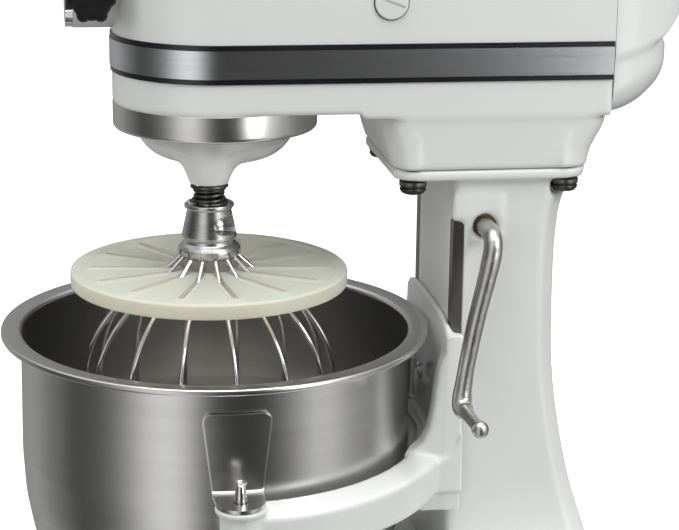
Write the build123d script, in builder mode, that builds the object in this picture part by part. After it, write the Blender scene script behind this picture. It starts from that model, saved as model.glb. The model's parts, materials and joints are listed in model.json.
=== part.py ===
"""Bowl-lift stand mixer: an assembly of separate pieces.

Millimetres, +Z up, origin on the table under the centre of the mixer. The front, with the
attachment hub, faces -Y, and the lift lever is on the mixer's own left side, +X.
Local sketches use the bowl axis as their origin, because the planetary drive, the bowl and
the head are all laid out around it.
"""
from build123d import *
from math import atan2, cos, degrees, dist, pi, radians, sin, sqrt, tan
import os

os.makedirs("parts", exist_ok=True)

# ---------------------------------------------------------------- driving dimensions
AXIS_Y = -66.0            # bowl and planetary axis, in the mixer's frame
WALL = 3.5                # casting walls
FIT = 0.05                # running clearance of a shaft in its bush
GAP = 0.4                 # clearance between pieces that move past each other

# head
HEAD_R = 53.6             # nose radius and half width
HEAD_LOW = 294.3          # underside
HEAD_SPLIT = 320.5        # joint of the two castings, hidden by the trim band
HEAD_TOP = 415.0
HEAD_EDGE_R = 34.0        # rounding of the top edges
SEAM_Y = 199.5            # head to end cover
COVER_REAR = 247.5
COVER_SCREW_Z = 374.0
BAND_LOW, BAND_HIGH = 310.7, 330.4
BAND_LINE = 2.7           # black line above and below the aluminium strip
BAND_T = 1.2
HUB_FRONT = -77.2
HUB_R = 22.0
HUB_Z = 354.5
CAP_T = 3.7
SOCKET_R, HUB_WEB, DRIVE_R = 17.0, -54.0, 9.0
HINGE_Y, HINGE_Z = -75.2, 380.5
KNOB_Y, KNOB_Z = -64.5, 351.0

# neck and column
PLATE_LOW, PLATE_HIGH = 258.5, 264.2
PLATE_FRONT, PLATE_REAR, PLATE_X = 87.6, 191.0, 52.0
COLUMN_FRONT = 119.0
COLUMN_X = 48.0
RAIL_X, RAIL_BACK = 40.0, 124.5
RAIL_LOW, RAIL_HIGH = 92.0, 236.0
COLUMN_WALL = 6.0
HEAD_SCREWS = [(-45, 97.6), (45, 97.6), (-45, 178), (45, 178)]

# base
BASE_X = 134.0
LEG_FRONT = -86.0
BASE_REAR = 217.0
FOOT_H = 6.0
BASE_TOP = 32.0

GLAND_X, GLAND_Z, GLAND_R = 45.0, 17.0, 6.5

# lift
LEVER_Y, LEVER_Z = 135.7, 233.5
LEVER_R = 4.9
LEVER_BUSH_IN, BUSH_R = 20.0, 6.2
LIFT = 40.0
WEB_LOW, WEB_HIGH = 106.0, 134.0   # where the lifter plate passes through the column's front wall
COLUMN_SLOT_LOW, COLUMN_SLOT_HIGH = WEB_LOW - 3, WEB_HIGH + LIFT + 3
LEVER_PAD = (118.0, 144.3, 225.0, 250.5)
LEVER_PAD_T = 0.9
CRANK_R, CRANK_PIN_R = 20.0, 4.0

# bowl and its support
RIM_Z = 172.0
RIM_R = 115.0
BOWL_WALL = 1.2
PIN_X = 120.0
ARM_IN, ARM_OUT = 110.5, 126.0
ARM_LOW, ARM_HIGH = 87.0, 112.0

# planetary drive
MODULE = 1.5
RING_TEETH, PINION_TEETH = 54, 16
BRUSH_Y, MOTOR_Z = 83.0, 351.0
SPEED_Y, TOGGLE_Y, SPEED_Z = 172.0, 140.0, 352.0
ORBIT = MODULE * (RING_TEETH - PINION_TEETH) / 2
REST_ANGLE = -12.4        # where the beater shaft stands on its orbit
CENTRE_TEETH, COUNTER_TEETH = 48, 14
WORM_WHEEL_TEETH = 32
BEVEL_RING_TEETH, BEVEL_PINION_TEETH = 30, 12
COUNTER_X = 25.6
COUNTER_Y = sqrt((MODULE * (CENTRE_TEETH + COUNTER_TEETH) / 2) ** 2 - COUNTER_X ** 2)
COUNTER_HIGH = 371.0

SIDE = Plane(origin=(0, AXIS_Y, 0), x_dir=(0, 1, 0), z_dir=(1, 0, 0))


def level(height):
    """Horizontal sketch plane on the bowl axis."""
    return Plane((0, AXIS_Y, height))


def at(x, y, height):
    """Horizontal sketch plane centred on a point given from the bowl axis."""
    return Plane((x, AXIS_Y + y, height))


def side_plane(x):
    """Vertical sketch plane at x: local x is the distance behind the bowl axis."""
    return SIDE.offset(x)


def front_plane(y):
    """Vertical sketch plane facing the front: local x is +X, local y is up."""
    return Plane(origin=(0, AXIS_Y + y, 0), x_dir=(1, 0, 0), z_dir=(0, -1, 0))


def save(piece, name):
    piece.part.label = name
    export_step(piece.part, f"parts/{name}.step")


def turned(points, plane_y=0.0, plane_x=0.0):
    """Solid of revolution about a vertical axis, from (radius, height) points."""
    with BuildPart() as body:
        with BuildSketch(Plane(origin=(plane_x, AXIS_Y + plane_y, 0), x_dir=(1, 0, 0), z_dir=(0, -1, 0))):
            with BuildLine():
                Polyline(*points, close=True)
            make_face()
        revolve(axis=Axis((plane_x, AXIS_Y + plane_y, 0), (0, 0, 1)))
    return body.part


# ---------------------------------------------------------------- base
FEET = [(-112, -64), (112, -64), (-98, 176), (98, 176), (0, 196)]
COLUMN_BOLTS = [(-38, 132), (38, 132), (-28, 190), (28, 190)]
GAP_R = 91.0              # opening for the bowl between the legs


def base_outline(inset):
    """U-shaped plan of the base, drawn smaller by inset."""
    half = BASE_X - inset
    with BuildSketch() as plan:
        with Locations((0, (BASE_REAR + LEG_FRONT) / 2)):
            Rectangle(2 * half, BASE_REAR - LEG_FRONT - 2 * inset)
        fillet(plan.vertices().group_by(Axis.Y)[-1], 74 - inset)
        Circle(GAP_R + inset, mode=Mode.SUBTRACT)
        Rectangle(2 * (GAP_R + inset), 2 * BASE_X, align=(Align.CENTER, Align.MAX), mode=Mode.SUBTRACT)
        fillet(plan.vertices().group_by(Axis.Y)[0], 20 - inset)
    return plan.sketch


with BuildPart() as base:
    with BuildSketch(level(FOOT_H)):
        add(base_outline(0))
    extrude(amount=BASE_TOP - FOOT_H)
    fillet(base.faces().sort_by(Axis.Z)[-1].edges(), 9)
    with BuildSketch(level(FOOT_H)):
        add(base_outline(4.5))
    extrude(amount=BASE_TOP - FOOT_H - 4.5, mode=Mode.SUBTRACT)
    with BuildSketch(level(FOOT_H)):
        with Locations(*FEET):
            Circle(9)
        with Locations(*COLUMN_BOLTS):
            Circle(8)
    extrude(amount=BASE_TOP - FOOT_H - 1)
    with BuildSketch(level(FOOT_H)):
        with Locations(*FEET):
            Circle(4)
    extrude(amount=10, mode=Mode.SUBTRACT)
    with BuildSketch(level(FOOT_H)):
        with Locations(*COLUMN_BOLTS):
            Circle(5.4)
    extrude(amount=BASE_TOP - FOOT_H - 8, mode=Mode.SUBTRACT)
    with BuildSketch(level(FOOT_H)):
        with Locations(*COLUMN_BOLTS):
            Circle(3.1)
    extrude(amount=BASE_TOP, mode=Mode.SUBTRACT)
    with BuildSketch(front_plane(BASE_REAR - 10)):
        with Locations((GLAND_X, GLAND_Z)):
            Circle(GLAND_R + 0.05)
    extrude(amount=-20, mode=Mode.SUBTRACT)
save(base, "base")

with BuildPart() as feet:
    with BuildSketch(level(0)):
        with Locations(*FEET):
            Circle(13)
    extrude(amount=FOOT_H - 0.02)
    chamfer(feet.edges().group_by(Axis.Z)[0], 1)
    with BuildSketch(level(FOOT_H - 0.02)):
        with Locations(*FEET):
            Circle(3.9)
    extrude(amount=9)
save(feet, "rubber_feet")

# ---------------------------------------------------------------- column
# Height, half width and rear edge of each section of the column.
COLUMN_SECTIONS = [(BASE_TOP, 64, 206.5), (48, 54, 202), (66, 49.2, 197), (80, 48, 192.4), (107, 48, 185.4),
                   (150, 48, 178.3), (200, 48, 176.4), (230, 48, 177), (246, 48, 179.6), (PLATE_LOW, 48, 186.5)]
CHAMFER_X, CHAMFER_Y = 10.0, 9.0


def column_block(inset, low, high):
    """Loft of the column between two heights, its section drawn smaller by inset."""
    with BuildPart() as block:
        for height, half, rear in COLUMN_SECTIONS:
            if low <= height <= high:
                with BuildSketch(level(height)):
                    side, back, front = half - inset, rear - inset, COLUMN_FRONT + inset
                    Polygon((-side, front), (side, front), (side, back - CHAMFER_Y),
                            (side - CHAMFER_X, back), (CHAMFER_X - side, back), (-side, back - CHAMFER_Y),
                            align=None)
        loft()
    return block.part


with BuildPart() as column:
    add(column_block(0, BASE_TOP, PLATE_LOW))
    fillet(column.edges().filter_by(lambda e: e.length > 200), 4)
    with BuildSketch(level(PLATE_LOW)):
        with Locations((0, (PLATE_FRONT + PLATE_REAR) / 2)):
            RectangleRounded(2 * PLATE_X, PLATE_REAR - PLATE_FRONT, 12)
    extrude(amount=PLATE_HIGH - PLATE_LOW)
    add(column_block(COLUMN_WALL, BASE_TOP, PLATE_LOW), mode=Mode.SUBTRACT)
    with BuildSketch(level(BASE_TOP)):
        with Locations(*COLUMN_BOLTS):
            Circle(9)
    extrude(amount=20)
    with BuildSketch(level(BASE_TOP)):
        with Locations(*COLUMN_BOLTS):
            Circle(3.1)
    extrude(amount=14, mode=Mode.SUBTRACT)
    with BuildSketch(level(PLATE_LOW)):
        with Locations((0, 146)):
            Rectangle(44, 42)
        with Locations(*HEAD_SCREWS):
            Circle(3.1)
    extrude(amount=PLATE_HIGH, mode=Mode.SUBTRACT)
    with BuildSketch(level(RAIL_LOW)):
        with Locations((-RAIL_X, RAIL_BACK), (RAIL_X, RAIL_BACK)):
            Rectangle(20, 20, align=(Align.CENTER, Align.MAX))
        Rectangle(2 * RAIL_X, 2 * RAIL_BACK, mode=Mode.SUBTRACT)
    extrude(amount=RAIL_HIGH - RAIL_LOW, mode=Mode.SUBTRACT)
    with BuildSketch(level(RAIL_LOW)):
        with Locations(*[(sx * (RAIL_X - 7), COLUMN_FRONT + 9) for sx in (-1, 1)]):
            Rectangle(14.2, 7)
    extrude(amount=RAIL_HIGH - RAIL_LOW)
    with BuildSketch(front_plane(COLUMN_FRONT - 1)):
        with Locations((0, (COLUMN_SLOT_LOW + COLUMN_SLOT_HIGH) / 2)):
            SlotOverall(COLUMN_SLOT_HIGH - COLUMN_SLOT_LOW, 22, rotation=90)
    extrude(amount=-(COLUMN_WALL + 2), mode=Mode.SUBTRACT)
    with BuildSketch(side_plane(LEVER_BUSH_IN)):
        with Locations((LEVER_Y, LEVER_Z)):
            Circle(10.5)
    extrude(amount=COLUMN_X - LEVER_BUSH_IN - 1)
    front, back, low, high = LEVER_PAD
    with BuildSketch(side_plane(COLUMN_X - 1)):
        with Locations(((front + back) / 2, (low + high) / 2)):
            RectangleRounded(back - front, high - low, 1.2)
    extrude(amount=LEVER_PAD_T + 1)
    with BuildSketch(level(RAIL_LOW)):
        with Locations((-RAIL_X, RAIL_BACK), (RAIL_X, RAIL_BACK)):
            Rectangle(20, 20, align=(Align.CENTER, Align.MAX))
        Rectangle(2 * RAIL_X, 2 * RAIL_BACK, mode=Mode.SUBTRACT)
    extrude(amount=RAIL_HIGH - RAIL_LOW, mode=Mode.SUBTRACT)
    with BuildSketch(side_plane(LEVER_BUSH_IN)):
        with Locations((LEVER_Y, LEVER_Z)):
            Circle(BUSH_R)
    extrude(amount=COLUMN_X, mode=Mode.SUBTRACT)
    with BuildSketch(level(PLATE_LOW)):
        with Locations(*HEAD_SCREWS):
            Circle(8)
    extrude(amount=-9, mode=Mode.SUBTRACT)
save(column, "column")

with BuildPart() as column_bolts:
    with BuildSketch(level(BASE_TOP - 12)):
        with Locations(*COLUMN_BOLTS):
            RegularPolygon(5, 6)
    extrude(amount=4)
    with BuildSketch(level(BASE_TOP - 8)):
        with Locations(*COLUMN_BOLTS):
            Circle(3.05)
    extrude(amount=20)
save(column_bolts, "column_bolts")

with BuildPart() as rails:
    for side in (-1, 1):
        with BuildSketch(level(RAIL_LOW + 0.1)):
            with Locations((side * (RAIL_X + COLUMN_X) / 2, (COLUMN_FRONT + RAIL_BACK) / 2)):
                Rectangle(COLUMN_X - RAIL_X - 0.1, RAIL_BACK - COLUMN_FRONT - 0.1)
        extrude(amount=RAIL_HIGH - RAIL_LOW - 0.2)
save(rails, "slide_rails")

with BuildPart() as lever_bush:
    with BuildSketch(side_plane(LEVER_BUSH_IN)):
        with Locations((LEVER_Y, LEVER_Z)):
            Circle(BUSH_R - 0.01)
            Circle(LEVER_R + FIT, mode=Mode.SUBTRACT)
    extrude(amount=COLUMN_X - LEVER_BUSH_IN - 1)
save(lever_bush, "lever_bush")

with BuildPart() as head_screws:
    with BuildSketch(level(PLATE_LOW - 3.2)):
        with Locations(*HEAD_SCREWS):
            Circle(7.15)
    extrude(amount=3.19)
    with BuildSketch(level(PLATE_LOW - 7.0)):
        with Locations(*HEAD_SCREWS):
            Circle(6.2)
    extrude(amount=3.9)
    chamfer(head_screws.edges().group_by(Axis.Z)[0], 1.6)
    with BuildSketch(level(PLATE_LOW - 7.0)):
        with Locations(*HEAD_SCREWS):
            Rectangle(16, 1.6)
    extrude(amount=2.2, mode=Mode.SUBTRACT)
    with BuildSketch(level(PLATE_LOW - 0.1)):
        with Locations(*HEAD_SCREWS):
            Circle(3.05)
    extrude(amount=22)
save(head_screws, "head_screws")

# ---------------------------------------------------------------- lift
YOKE_FRONT, YOKE_BACK = 115.7, COLUMN_FRONT - 0.3
CHEEK_OUT, CHEEK_BACK, CHEEK_T = 55.0, 125.5, 6.3
YOKE_LOW, YOKE_TOP, CHEEK_TOP = 78.0, 183.5, 176.5
PAD_TOP = 114.0

GUSSET_IN = 37.0          # the arms rise to the yoke in a ramp, from this far out
# Top edge of the ramp, as (distance behind the bowl axis, height).
GUSSET_TOP = [(84, ARM_HIGH), (98, 113.5), (104.5, 119), (108, 128), (110, 142), (YOKE_FRONT + 1, 164)]


def gussets():
    """Ramps that join the arms to the yoke, one on each side."""
    with BuildPart() as ramps:
        with BuildSketch(side_plane(-ARM_OUT)):
            with BuildLine():
                Polyline(*GUSSET_TOP, (YOKE_BACK - 1, GUSSET_TOP[-1][1]), (YOKE_BACK - 1, ARM_LOW + 1),
                         (GUSSET_TOP[0][0], ARM_LOW + 1), close=True)
            make_face()
        extrude(amount=2 * ARM_OUT)
        with BuildSketch(level(ARM_LOW)):
            Circle(ARM_OUT - 0.5)
            Circle(ARM_IN + 0.5, mode=Mode.SUBTRACT)
            Rectangle(2 * GUSSET_IN, 2 * ARM_OUT, mode=Mode.SUBTRACT)
        extrude(amount=100, mode=Mode.INTERSECT)
    return ramps.part


with BuildPart() as bowl_support:
    with BuildSketch(front_plane(YOKE_FRONT)):
        with BuildLine():
            Polyline((-CHEEK_OUT, CHEEK_TOP), (-CHEEK_OUT, YOKE_LOW), (CHEEK_OUT, YOKE_LOW),
                     (CHEEK_OUT, CHEEK_TOP))
            ThreePointArc((CHEEK_OUT, CHEEK_TOP), (0, YOKE_TOP), (-CHEEK_OUT, CHEEK_TOP))
        make_face()
    extrude(amount=YOKE_FRONT - YOKE_BACK)
    with BuildSketch(level(YOKE_LOW)):
        with Locations((-CHEEK_OUT, CHEEK_BACK), (CHEEK_OUT - CHEEK_T, CHEEK_BACK)):
            Rectangle(CHEEK_T, CHEEK_BACK - YOKE_FRONT, align=(Align.MIN, Align.MAX))
    extrude(amount=CHEEK_TOP - YOKE_LOW)
    with BuildSketch(level(ARM_LOW)):
        Circle(ARM_OUT)
        Circle(ARM_IN, mode=Mode.SUBTRACT)
        with Locations((0, -12)):
            Rectangle(300, 200, align=(Align.CENTER, Align.MAX), mode=Mode.SUBTRACT)
        with Locations((0, YOKE_BACK)):
            Rectangle(300, 200, align=(Align.CENTER, Align.MIN), mode=Mode.SUBTRACT)
    extrude(amount=ARM_HIGH - ARM_LOW)
    with BuildSketch(level(ARM_LOW)):
        with Locations((-PIN_X, 0), (PIN_X, 0)):
            Circle(13)
        Circle(ARM_IN - 1.5, mode=Mode.SUBTRACT)
    extrude(amount=PAD_TOP - ARM_LOW)
    with BuildSketch(level(YOKE_LOW)):
        with Locations((0, YOKE_BACK)):
            Rectangle(2 * CHEEK_OUT, 16, align=(Align.CENTER, Align.MAX))
        Circle(ARM_IN - 1.5, mode=Mode.SUBTRACT)
    extrude(amount=ARM_HIGH - YOKE_LOW)
    add(gussets())
    with BuildSketch(level(ARM_LOW)):
        with Locations((-PIN_X, 0), (PIN_X, 0)):
            Circle(3.3)
    extrude(amount=PAD_TOP, mode=Mode.SUBTRACT)
    for side in (-1, 1):
        with BuildSketch(side_plane(side * PIN_X)):
            with Locations((1.6, 100)):
                Circle(2.5)
        extrude(amount=side * 20, mode=Mode.SUBTRACT)
save(bowl_support, "bowl_support")

with BuildPart() as locating_pins:
    for side in (-1, 1):
        add(turned([(0, 92), (3.28, 92), (3.28, PAD_TOP + 4), (2.4, PAD_TOP + 11), (1.6, PAD_TOP + 12.5),
                    (0, PAD_TOP + 12.5)], plane_x=side * PIN_X))
save(locating_pins, "locating_pins")

with BuildPart() as set_screws:
    for side in (-1, 1):
        with BuildSketch(side_plane(side * (PIN_X + 3.4))):
            with Locations((1.6, 100)):
                Circle(2.45)
        extrude(amount=side * 9)
        with BuildSketch(side_plane(side * (PIN_X + 12.4))):
            with Locations((1.6, 100)):
                Rectangle(6, 0.8)
        extrude(amount=-side * 1.2, mode=Mode.SUBTRACT)
save(set_screws, "set_screws")

CRANK_X = (7.0, 15.0)
with BuildPart() as lift_crank:
    with BuildSketch(side_plane(CRANK_X[0])):
        with Locations((LEVER_Y, LEVER_Z)):
            Circle(8.5)
        with Locations((LEVER_Y, LEVER_Z - CRANK_R)):
            Circle(5.5)
        with Locations((LEVER_Y, LEVER_Z - CRANK_R / 2)):
            Rectangle(9, CRANK_R)
        with Locations((LEVER_Y, LEVER_Z)):
            Circle(LEVER_R - 0.88, mode=Mode.SUBTRACT)
    extrude(amount=CRANK_X[1] - CRANK_X[0])
    with BuildSketch(side_plane(-5)):
        with Locations((LEVER_Y, LEVER_Z - CRANK_R)):
            Circle(CRANK_PIN_R)
    extrude(amount=CRANK_X[0] + 5.5)
save(lift_crank, "lift_crank")

SLOT_HALF = CRANK_PIN_R + 5.0
with BuildPart() as lifter:
    with BuildSketch(side_plane(-3.5)):
        with Locations((LEVER_Y + 10.2, LEVER_Z - CRANK_R)):
            Rectangle(40.4, 2 * SLOT_HALF + 12)
        with Locations((YOKE_BACK, WEB_LOW)):
            Rectangle(LEVER_Y - YOKE_BACK + 2, WEB_HIGH - WEB_LOW, align=(Align.MIN, Align.MIN))
        with Locations((LEVER_Y - 10, WEB_LOW)):
            Rectangle(12, LEVER_Z - CRANK_R - WEB_LOW, align=(Align.MIN, Align.MIN))
        with Locations((LEVER_Y + 11, LEVER_Z - CRANK_R)):
            RectangleRounded(31, 2 * SLOT_HALF, SLOT_HALF - 1.5, mode=Mode.SUBTRACT)
    extrude(amount=7)
save(lifter, "lifter_plate")

# Route of the lift lever: out of the column, down, and out again to its tip.
LEVER_ROUTE = [(CRANK_X[0], LEVER_Y, LEVER_Z), (70, LEVER_Y, LEVER_Z), (72, 127, 190), (72, 121.6, 151),
               (105, 122.5, 142)]
with BuildPart() as lift_lever:
    with BuildLine() as route:
        FilletPolyline(*[Vector(x, AXIS_Y + y, z) for x, y, z in LEVER_ROUTE], radius=9)
    with BuildSketch(Plane(route.line @ 0, z_dir=route.line % 0)):
        Circle(LEVER_R)
    sweep()
    with BuildSketch(side_plane(CRANK_X[0] - 0.01)):
        with Locations((LEVER_Y, LEVER_Z)):
            Circle(LEVER_R + 1)
            Circle(LEVER_R - 0.9, mode=Mode.SUBTRACT)
    extrude(amount=CRANK_X[1] - CRANK_X[0], mode=Mode.SUBTRACT)
    with Locations((105, AXIS_Y + 122.5, 142)):
        Sphere(LEVER_R)
save(lift_lever, "lift_lever")

# ---------------------------------------------------------------- bowl
BOWL_FLOOR = 12.0
# Outer wall of the bowl from the floor to the neck under the rim, as (radius, height).
BOWL_WALL_POINTS = [(52, BOWL_FLOOR), (76, 21), (92, 38), (99.7, 58), (104, 82), (105.2, 105), (104.6, 157),
                    (104.6, 166)]
EAR_TOP, EAR_TOP_HALF, EAR_LOW_HALF = 156.5, 18.0, 13.3
TAB_T = 2.0


def bowl_surface(inset):
    """Closed half section of the bowl, its wall drawn inwards by inset, up to the neck."""
    points = [(0, BOWL_FLOOR)] + BOWL_WALL_POINTS
    runs = list(zip(points, points[1:]))
    square = [((high[1] - low[1]) / dist(low, high), (low[0] - high[0]) / dist(low, high))
              for low, high in runs]
    drawn_in = [(0, BOWL_FLOOR + inset)]
    for (out_before, up_before), (out_after, up_after), (radius, height) in zip(square, square[1:], points[1:]):
        share = inset / (1 + out_before * out_after + up_before * up_after)
        drawn_in.append((radius - share * (out_before + out_after), height - share * (up_before + up_after)))
    drawn_in.append((points[-1][0] - inset, points[-1][1]))
    radii = []
    for before, corner, after in zip(drawn_in, drawn_in[1:], drawn_in[2:]):
        turn = (Vector(*corner) - Vector(*before)).get_angle(Vector(*after) - Vector(*corner))
        radii.append(0.45 * min(dist(before, corner), dist(corner, after)) / tan(radians(turn / 2)))
    top = RIM_Z + 4 * inset
    with BuildSketch(Plane(origin=(0, AXIS_Y, 0), x_dir=(1, 0, 0), z_dir=(0, -1, 0))) as section:
        with BuildLine():
            wall = FilletPolyline(*drawn_in, radius=radii)
            Polyline(wall @ 1, (drawn_in[-1][0], top), (0, top), wall @ 0)
        make_face()
    return section.sketch


with BuildPart() as bowl:
    add(bowl_surface(0))
    revolve(axis=Axis((0, AXIS_Y, 0), (0, 0, 1)))
    with BuildSketch(level(RIM_Z - 3.6)):
        Circle(RIM_R)
    extrude(amount=3.6)
    fillet(bowl.edges().filter_by(lambda e: abs(e.radius - RIM_R) < 0.01 if e.geom_type == GeomType.CIRCLE
                                  else False), 1.7)
    add(bowl_surface(BOWL_WALL))
    revolve(axis=Axis((0, AXIS_Y, 0), (0, 0, 1)), mode=Mode.SUBTRACT)
    fillet(bowl.edges().filter_by(GeomType.CIRCLE).group_by(Axis.Z)[-1].sort_by(SortBy.RADIUS)[0], 2.2)
save(bowl, "bowl")

with BuildPart() as bowl_ears:
    with BuildSketch(level(PAD_TOP)):
        Circle(BOWL_WALL_POINTS[-2][0] + 2.8)
        Circle(BOWL_WALL_POINTS[-2][0] + 0.75, mode=Mode.SUBTRACT)
    extrude(amount=EAR_TOP - PAD_TOP)
    with BuildSketch(side_plane(-RIM_R)):
        with BuildLine():
            Polyline((-EAR_LOW_HALF, PAD_TOP), (-EAR_TOP_HALF, EAR_TOP), (EAR_TOP_HALF, EAR_TOP),
                     (EAR_LOW_HALF, PAD_TOP), close=True)
        make_face()
    extrude(amount=2 * RIM_R, mode=Mode.INTERSECT)
    fillet(bowl_ears.edges().filter_by(lambda e: e.length < 4).group_by(Axis.Z)[-1], 5)
    with BuildSketch(level(PAD_TOP + 0.05)):
        for side in (-1, 1):
            with Locations((side * PIN_X, 0)):
                Circle(12.4)
            with Locations((side * (PIN_X + BOWL_WALL_POINTS[-2][0] + 1.4) / 2, 0)):
                Rectangle(PIN_X - BOWL_WALL_POINTS[-2][0] - 1.4, 24.8)
        Circle(BOWL_WALL_POINTS[-2][0] + 0.85, mode=Mode.SUBTRACT)
        with Locations((-PIN_X, 0), (PIN_X, 0)):
            Circle(3.9, mode=Mode.SUBTRACT)
    extrude(amount=TAB_T)
save(bowl_ears, "bowl_ears")

LATCH_Z = 140.0
LATCH_PIN_R = 3.0
with BuildPart() as rear_bracket:
    with BuildSketch(level(LATCH_Z - 12)):
        Circle(BOWL_WALL_POINTS[-2][0] + 2.8)
        Circle(BOWL_WALL_POINTS[-2][0] + 0.75, mode=Mode.SUBTRACT)
        with Locations((0, 0)):
            Rectangle(300, 200, align=(Align.CENTER, Align.MAX), mode=Mode.SUBTRACT)
    extrude(amount=28)
    with BuildSketch(front_plane(0)):
        with Locations((0, LATCH_Z + 2)):
            RectangleRounded(36, 28, 5)
    extrude(amount=-RIM_R, mode=Mode.INTERSECT)
    with BuildSketch(front_plane(BOWL_WALL_POINTS[-2][0] + 1.5)):
        with Locations((0, LATCH_Z)):
            Circle(LATCH_PIN_R)
    extrude(amount=-6)
    with BuildSketch(front_plane(BOWL_WALL_POINTS[-2][0] + 7.5)):
        with Locations((0, LATCH_Z)):
            Circle(LATCH_PIN_R + 1.4)
    extrude(amount=-1.6)
save(rear_bracket, "rear_bracket")

with BuildPart() as latch_spring:
    with BuildSketch(front_plane(BOWL_WALL_POINTS[-2][0] + 3.6)):
        prong = [(8, -11.95), (8, -6), (5.2, 2), (6.5, 9), (5.2, 9), (LATCH_PIN_R + GAP, 4),
                 (LATCH_PIN_R + GAP, -4)]
        with BuildLine():
            Polyline(*[(x, LATCH_Z + z) for x, z in prong], *[(-x, LATCH_Z + z) for x, z in reversed(prong)],
                     close=True)
        make_face()
    extrude(amount=-2)
save(latch_spring, "latch_spring")

# ---------------------------------------------------------------- head castings
NECK_FRONT = 80.0
RING_HOLE = 47.0


def head_block(inset, low, high, rear=SEAM_Y):
    """Head shape between two heights: round nose, straight sides, rounded top edges."""
    radius = HEAD_R - inset
    with BuildPart() as block:
        with BuildSketch(level(low)):
            Circle(radius)
            Rectangle(2 * radius, rear, align=(Align.CENTER, Align.MIN))
        extrude(amount=high - low)
        if high > HEAD_SPLIT + 1:
            top = block.faces().sort_by(Axis.Z)[-1]
            fillet([e for e in top.edges() if e.center().Y < AXIS_Y + rear - 1], HEAD_EDGE_R - inset)
    return block.part


def dome_section(half, low, high, edge_r):
    """Cross-section of the head seen from the front, with rounded upper corners."""
    with BuildSketch() as section:
        with BuildLine():
            Line((-half, high - edge_r), (-half, low))
            Line((-half, low), (half, low))
            Line((half, low), (half, high - edge_r))
            JernArc((half, high - edge_r), (0, 1), edge_r, 90)
            Line((half - edge_r, high), (edge_r - half, high))
            JernArc((edge_r - half, high), (-1, 0), edge_r, 90)
        make_face()
    return section.sketch


def cover_block(inset):
    """Bulged rear end of the head, behind the seam."""
    half, rear = HEAD_R - inset, COVER_REAR - inset
    low, high = 286.5 + inset, HEAD_TOP - inset
    with BuildPart() as block:
        with BuildSketch(side_plane(-half)):
            with BuildLine():
                outline = [(SEAM_Y, low + 3), (rear - 20, low + 5.5), (rear - 8, low + 19), (rear - 6.5, 318),
                           (rear - 6, 324), (rear - 0.5, 340)]
                Line((SEAM_Y, high), (SEAM_Y, low + 3))
                Spline(*outline, tangents=[(1, 0.0), (0.15, 1)])
                Spline(outline[-1], (rear - 2, 376), (rear - 16, high - 9), (rear - 40, high),
                       tangents=[(0.15, 1), (-1, 0)])
                Line((rear - 40, high), (SEAM_Y, high))
            make_face()
        extrude(amount=2 * half)
        with BuildSketch(level(low - 10)):
            with BuildLine():
                Polyline((-half, SEAM_Y), (-half, SEAM_Y + 3))
                Spline((-half, SEAM_Y + 3), (-half * 0.74, rear - 9), (0, rear), tangents=[(0, 1), (1, 0)])
                Spline((0, rear), (half * 0.74, rear - 9), (half, SEAM_Y + 3), tangents=[(1, 0), (0, -1)])
                Polyline((half, SEAM_Y + 3), (half, SEAM_Y), (-half, SEAM_Y))
            make_face()
        extrude(amount=high - low + 20, mode=Mode.INTERSECT)
        with BuildSketch(front_plane(SEAM_Y - 1)):
            add(dome_section(half, low - 20, high, HEAD_EDGE_R - inset))
        extrude(amount=-(rear - SEAM_Y + 2), mode=Mode.INTERSECT)
    return block.part


def neck_block(inset, low, high):
    """Flared neck between the column plate and the underside of the head."""
    with BuildPart() as block:
        for height, front, back, half, corner in ((PLATE_HIGH, PLATE_FRONT, 193.0, PLATE_X, 12),
                                                  (274, 84.4, 196.5, 52.3, 13),
                                                  (HEAD_LOW, NECK_FRONT, SEAM_Y, HEAD_R - 0.5, 14)):
            with BuildSketch(level(height)):
                with Locations((0, (front + back) / 2)):
                    RectangleRounded(2 * (half - inset), back - front - 2 * inset, corner - inset / 2)
        loft()
    return block.part


with BuildPart() as gear_case:
    add(neck_block(0, PLATE_HIGH, HEAD_LOW))
    add(head_block(0, HEAD_LOW, HEAD_SPLIT - 0.05))
    add(head_block(WALL, HEAD_LOW + WALL, HEAD_SPLIT), mode=Mode.SUBTRACT)
    add(neck_block(5, PLATE_HIGH, HEAD_LOW), mode=Mode.SUBTRACT)
    with BuildSketch(level(PLATE_HIGH)):
        with Locations((0, 146)):
            Rectangle(80, 90)
    extrude(amount=HEAD_LOW, mode=Mode.SUBTRACT)
    with BuildSketch(level(PLATE_HIGH)):
        with Locations(*HEAD_SCREWS):
            Circle(8)
    extrude(amount=22)
    with BuildSketch(level(PLATE_HIGH)):
        with Locations(*HEAD_SCREWS):
            Circle(3.1)
    extrude(amount=18, mode=Mode.SUBTRACT)
    with BuildSketch(level(282)):
        Circle(52.0)
    extrude(amount=22)
    with BuildSketch(level(282)):
        Circle(RING_HOLE + 0.02)
    extrude(amount=20.5, mode=Mode.SUBTRACT)
    with BuildSketch(level(302)):
        Circle(16)
    extrude(amount=16)
    with BuildSketch(at(COUNTER_X, COUNTER_Y, 302)):
        Circle(10)
    extrude(amount=14)
    with BuildSketch(level(302)):
        Circle(10)
        with Locations((COUNTER_X, COUNTER_Y)):
            Circle(7)
    extrude(amount=30, mode=Mode.SUBTRACT)
    with BuildSketch(level(282)):
        Circle(42)
    extrude(amount=20.5, mode=Mode.SUBTRACT)
save(gear_case, "gear_case")

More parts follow.
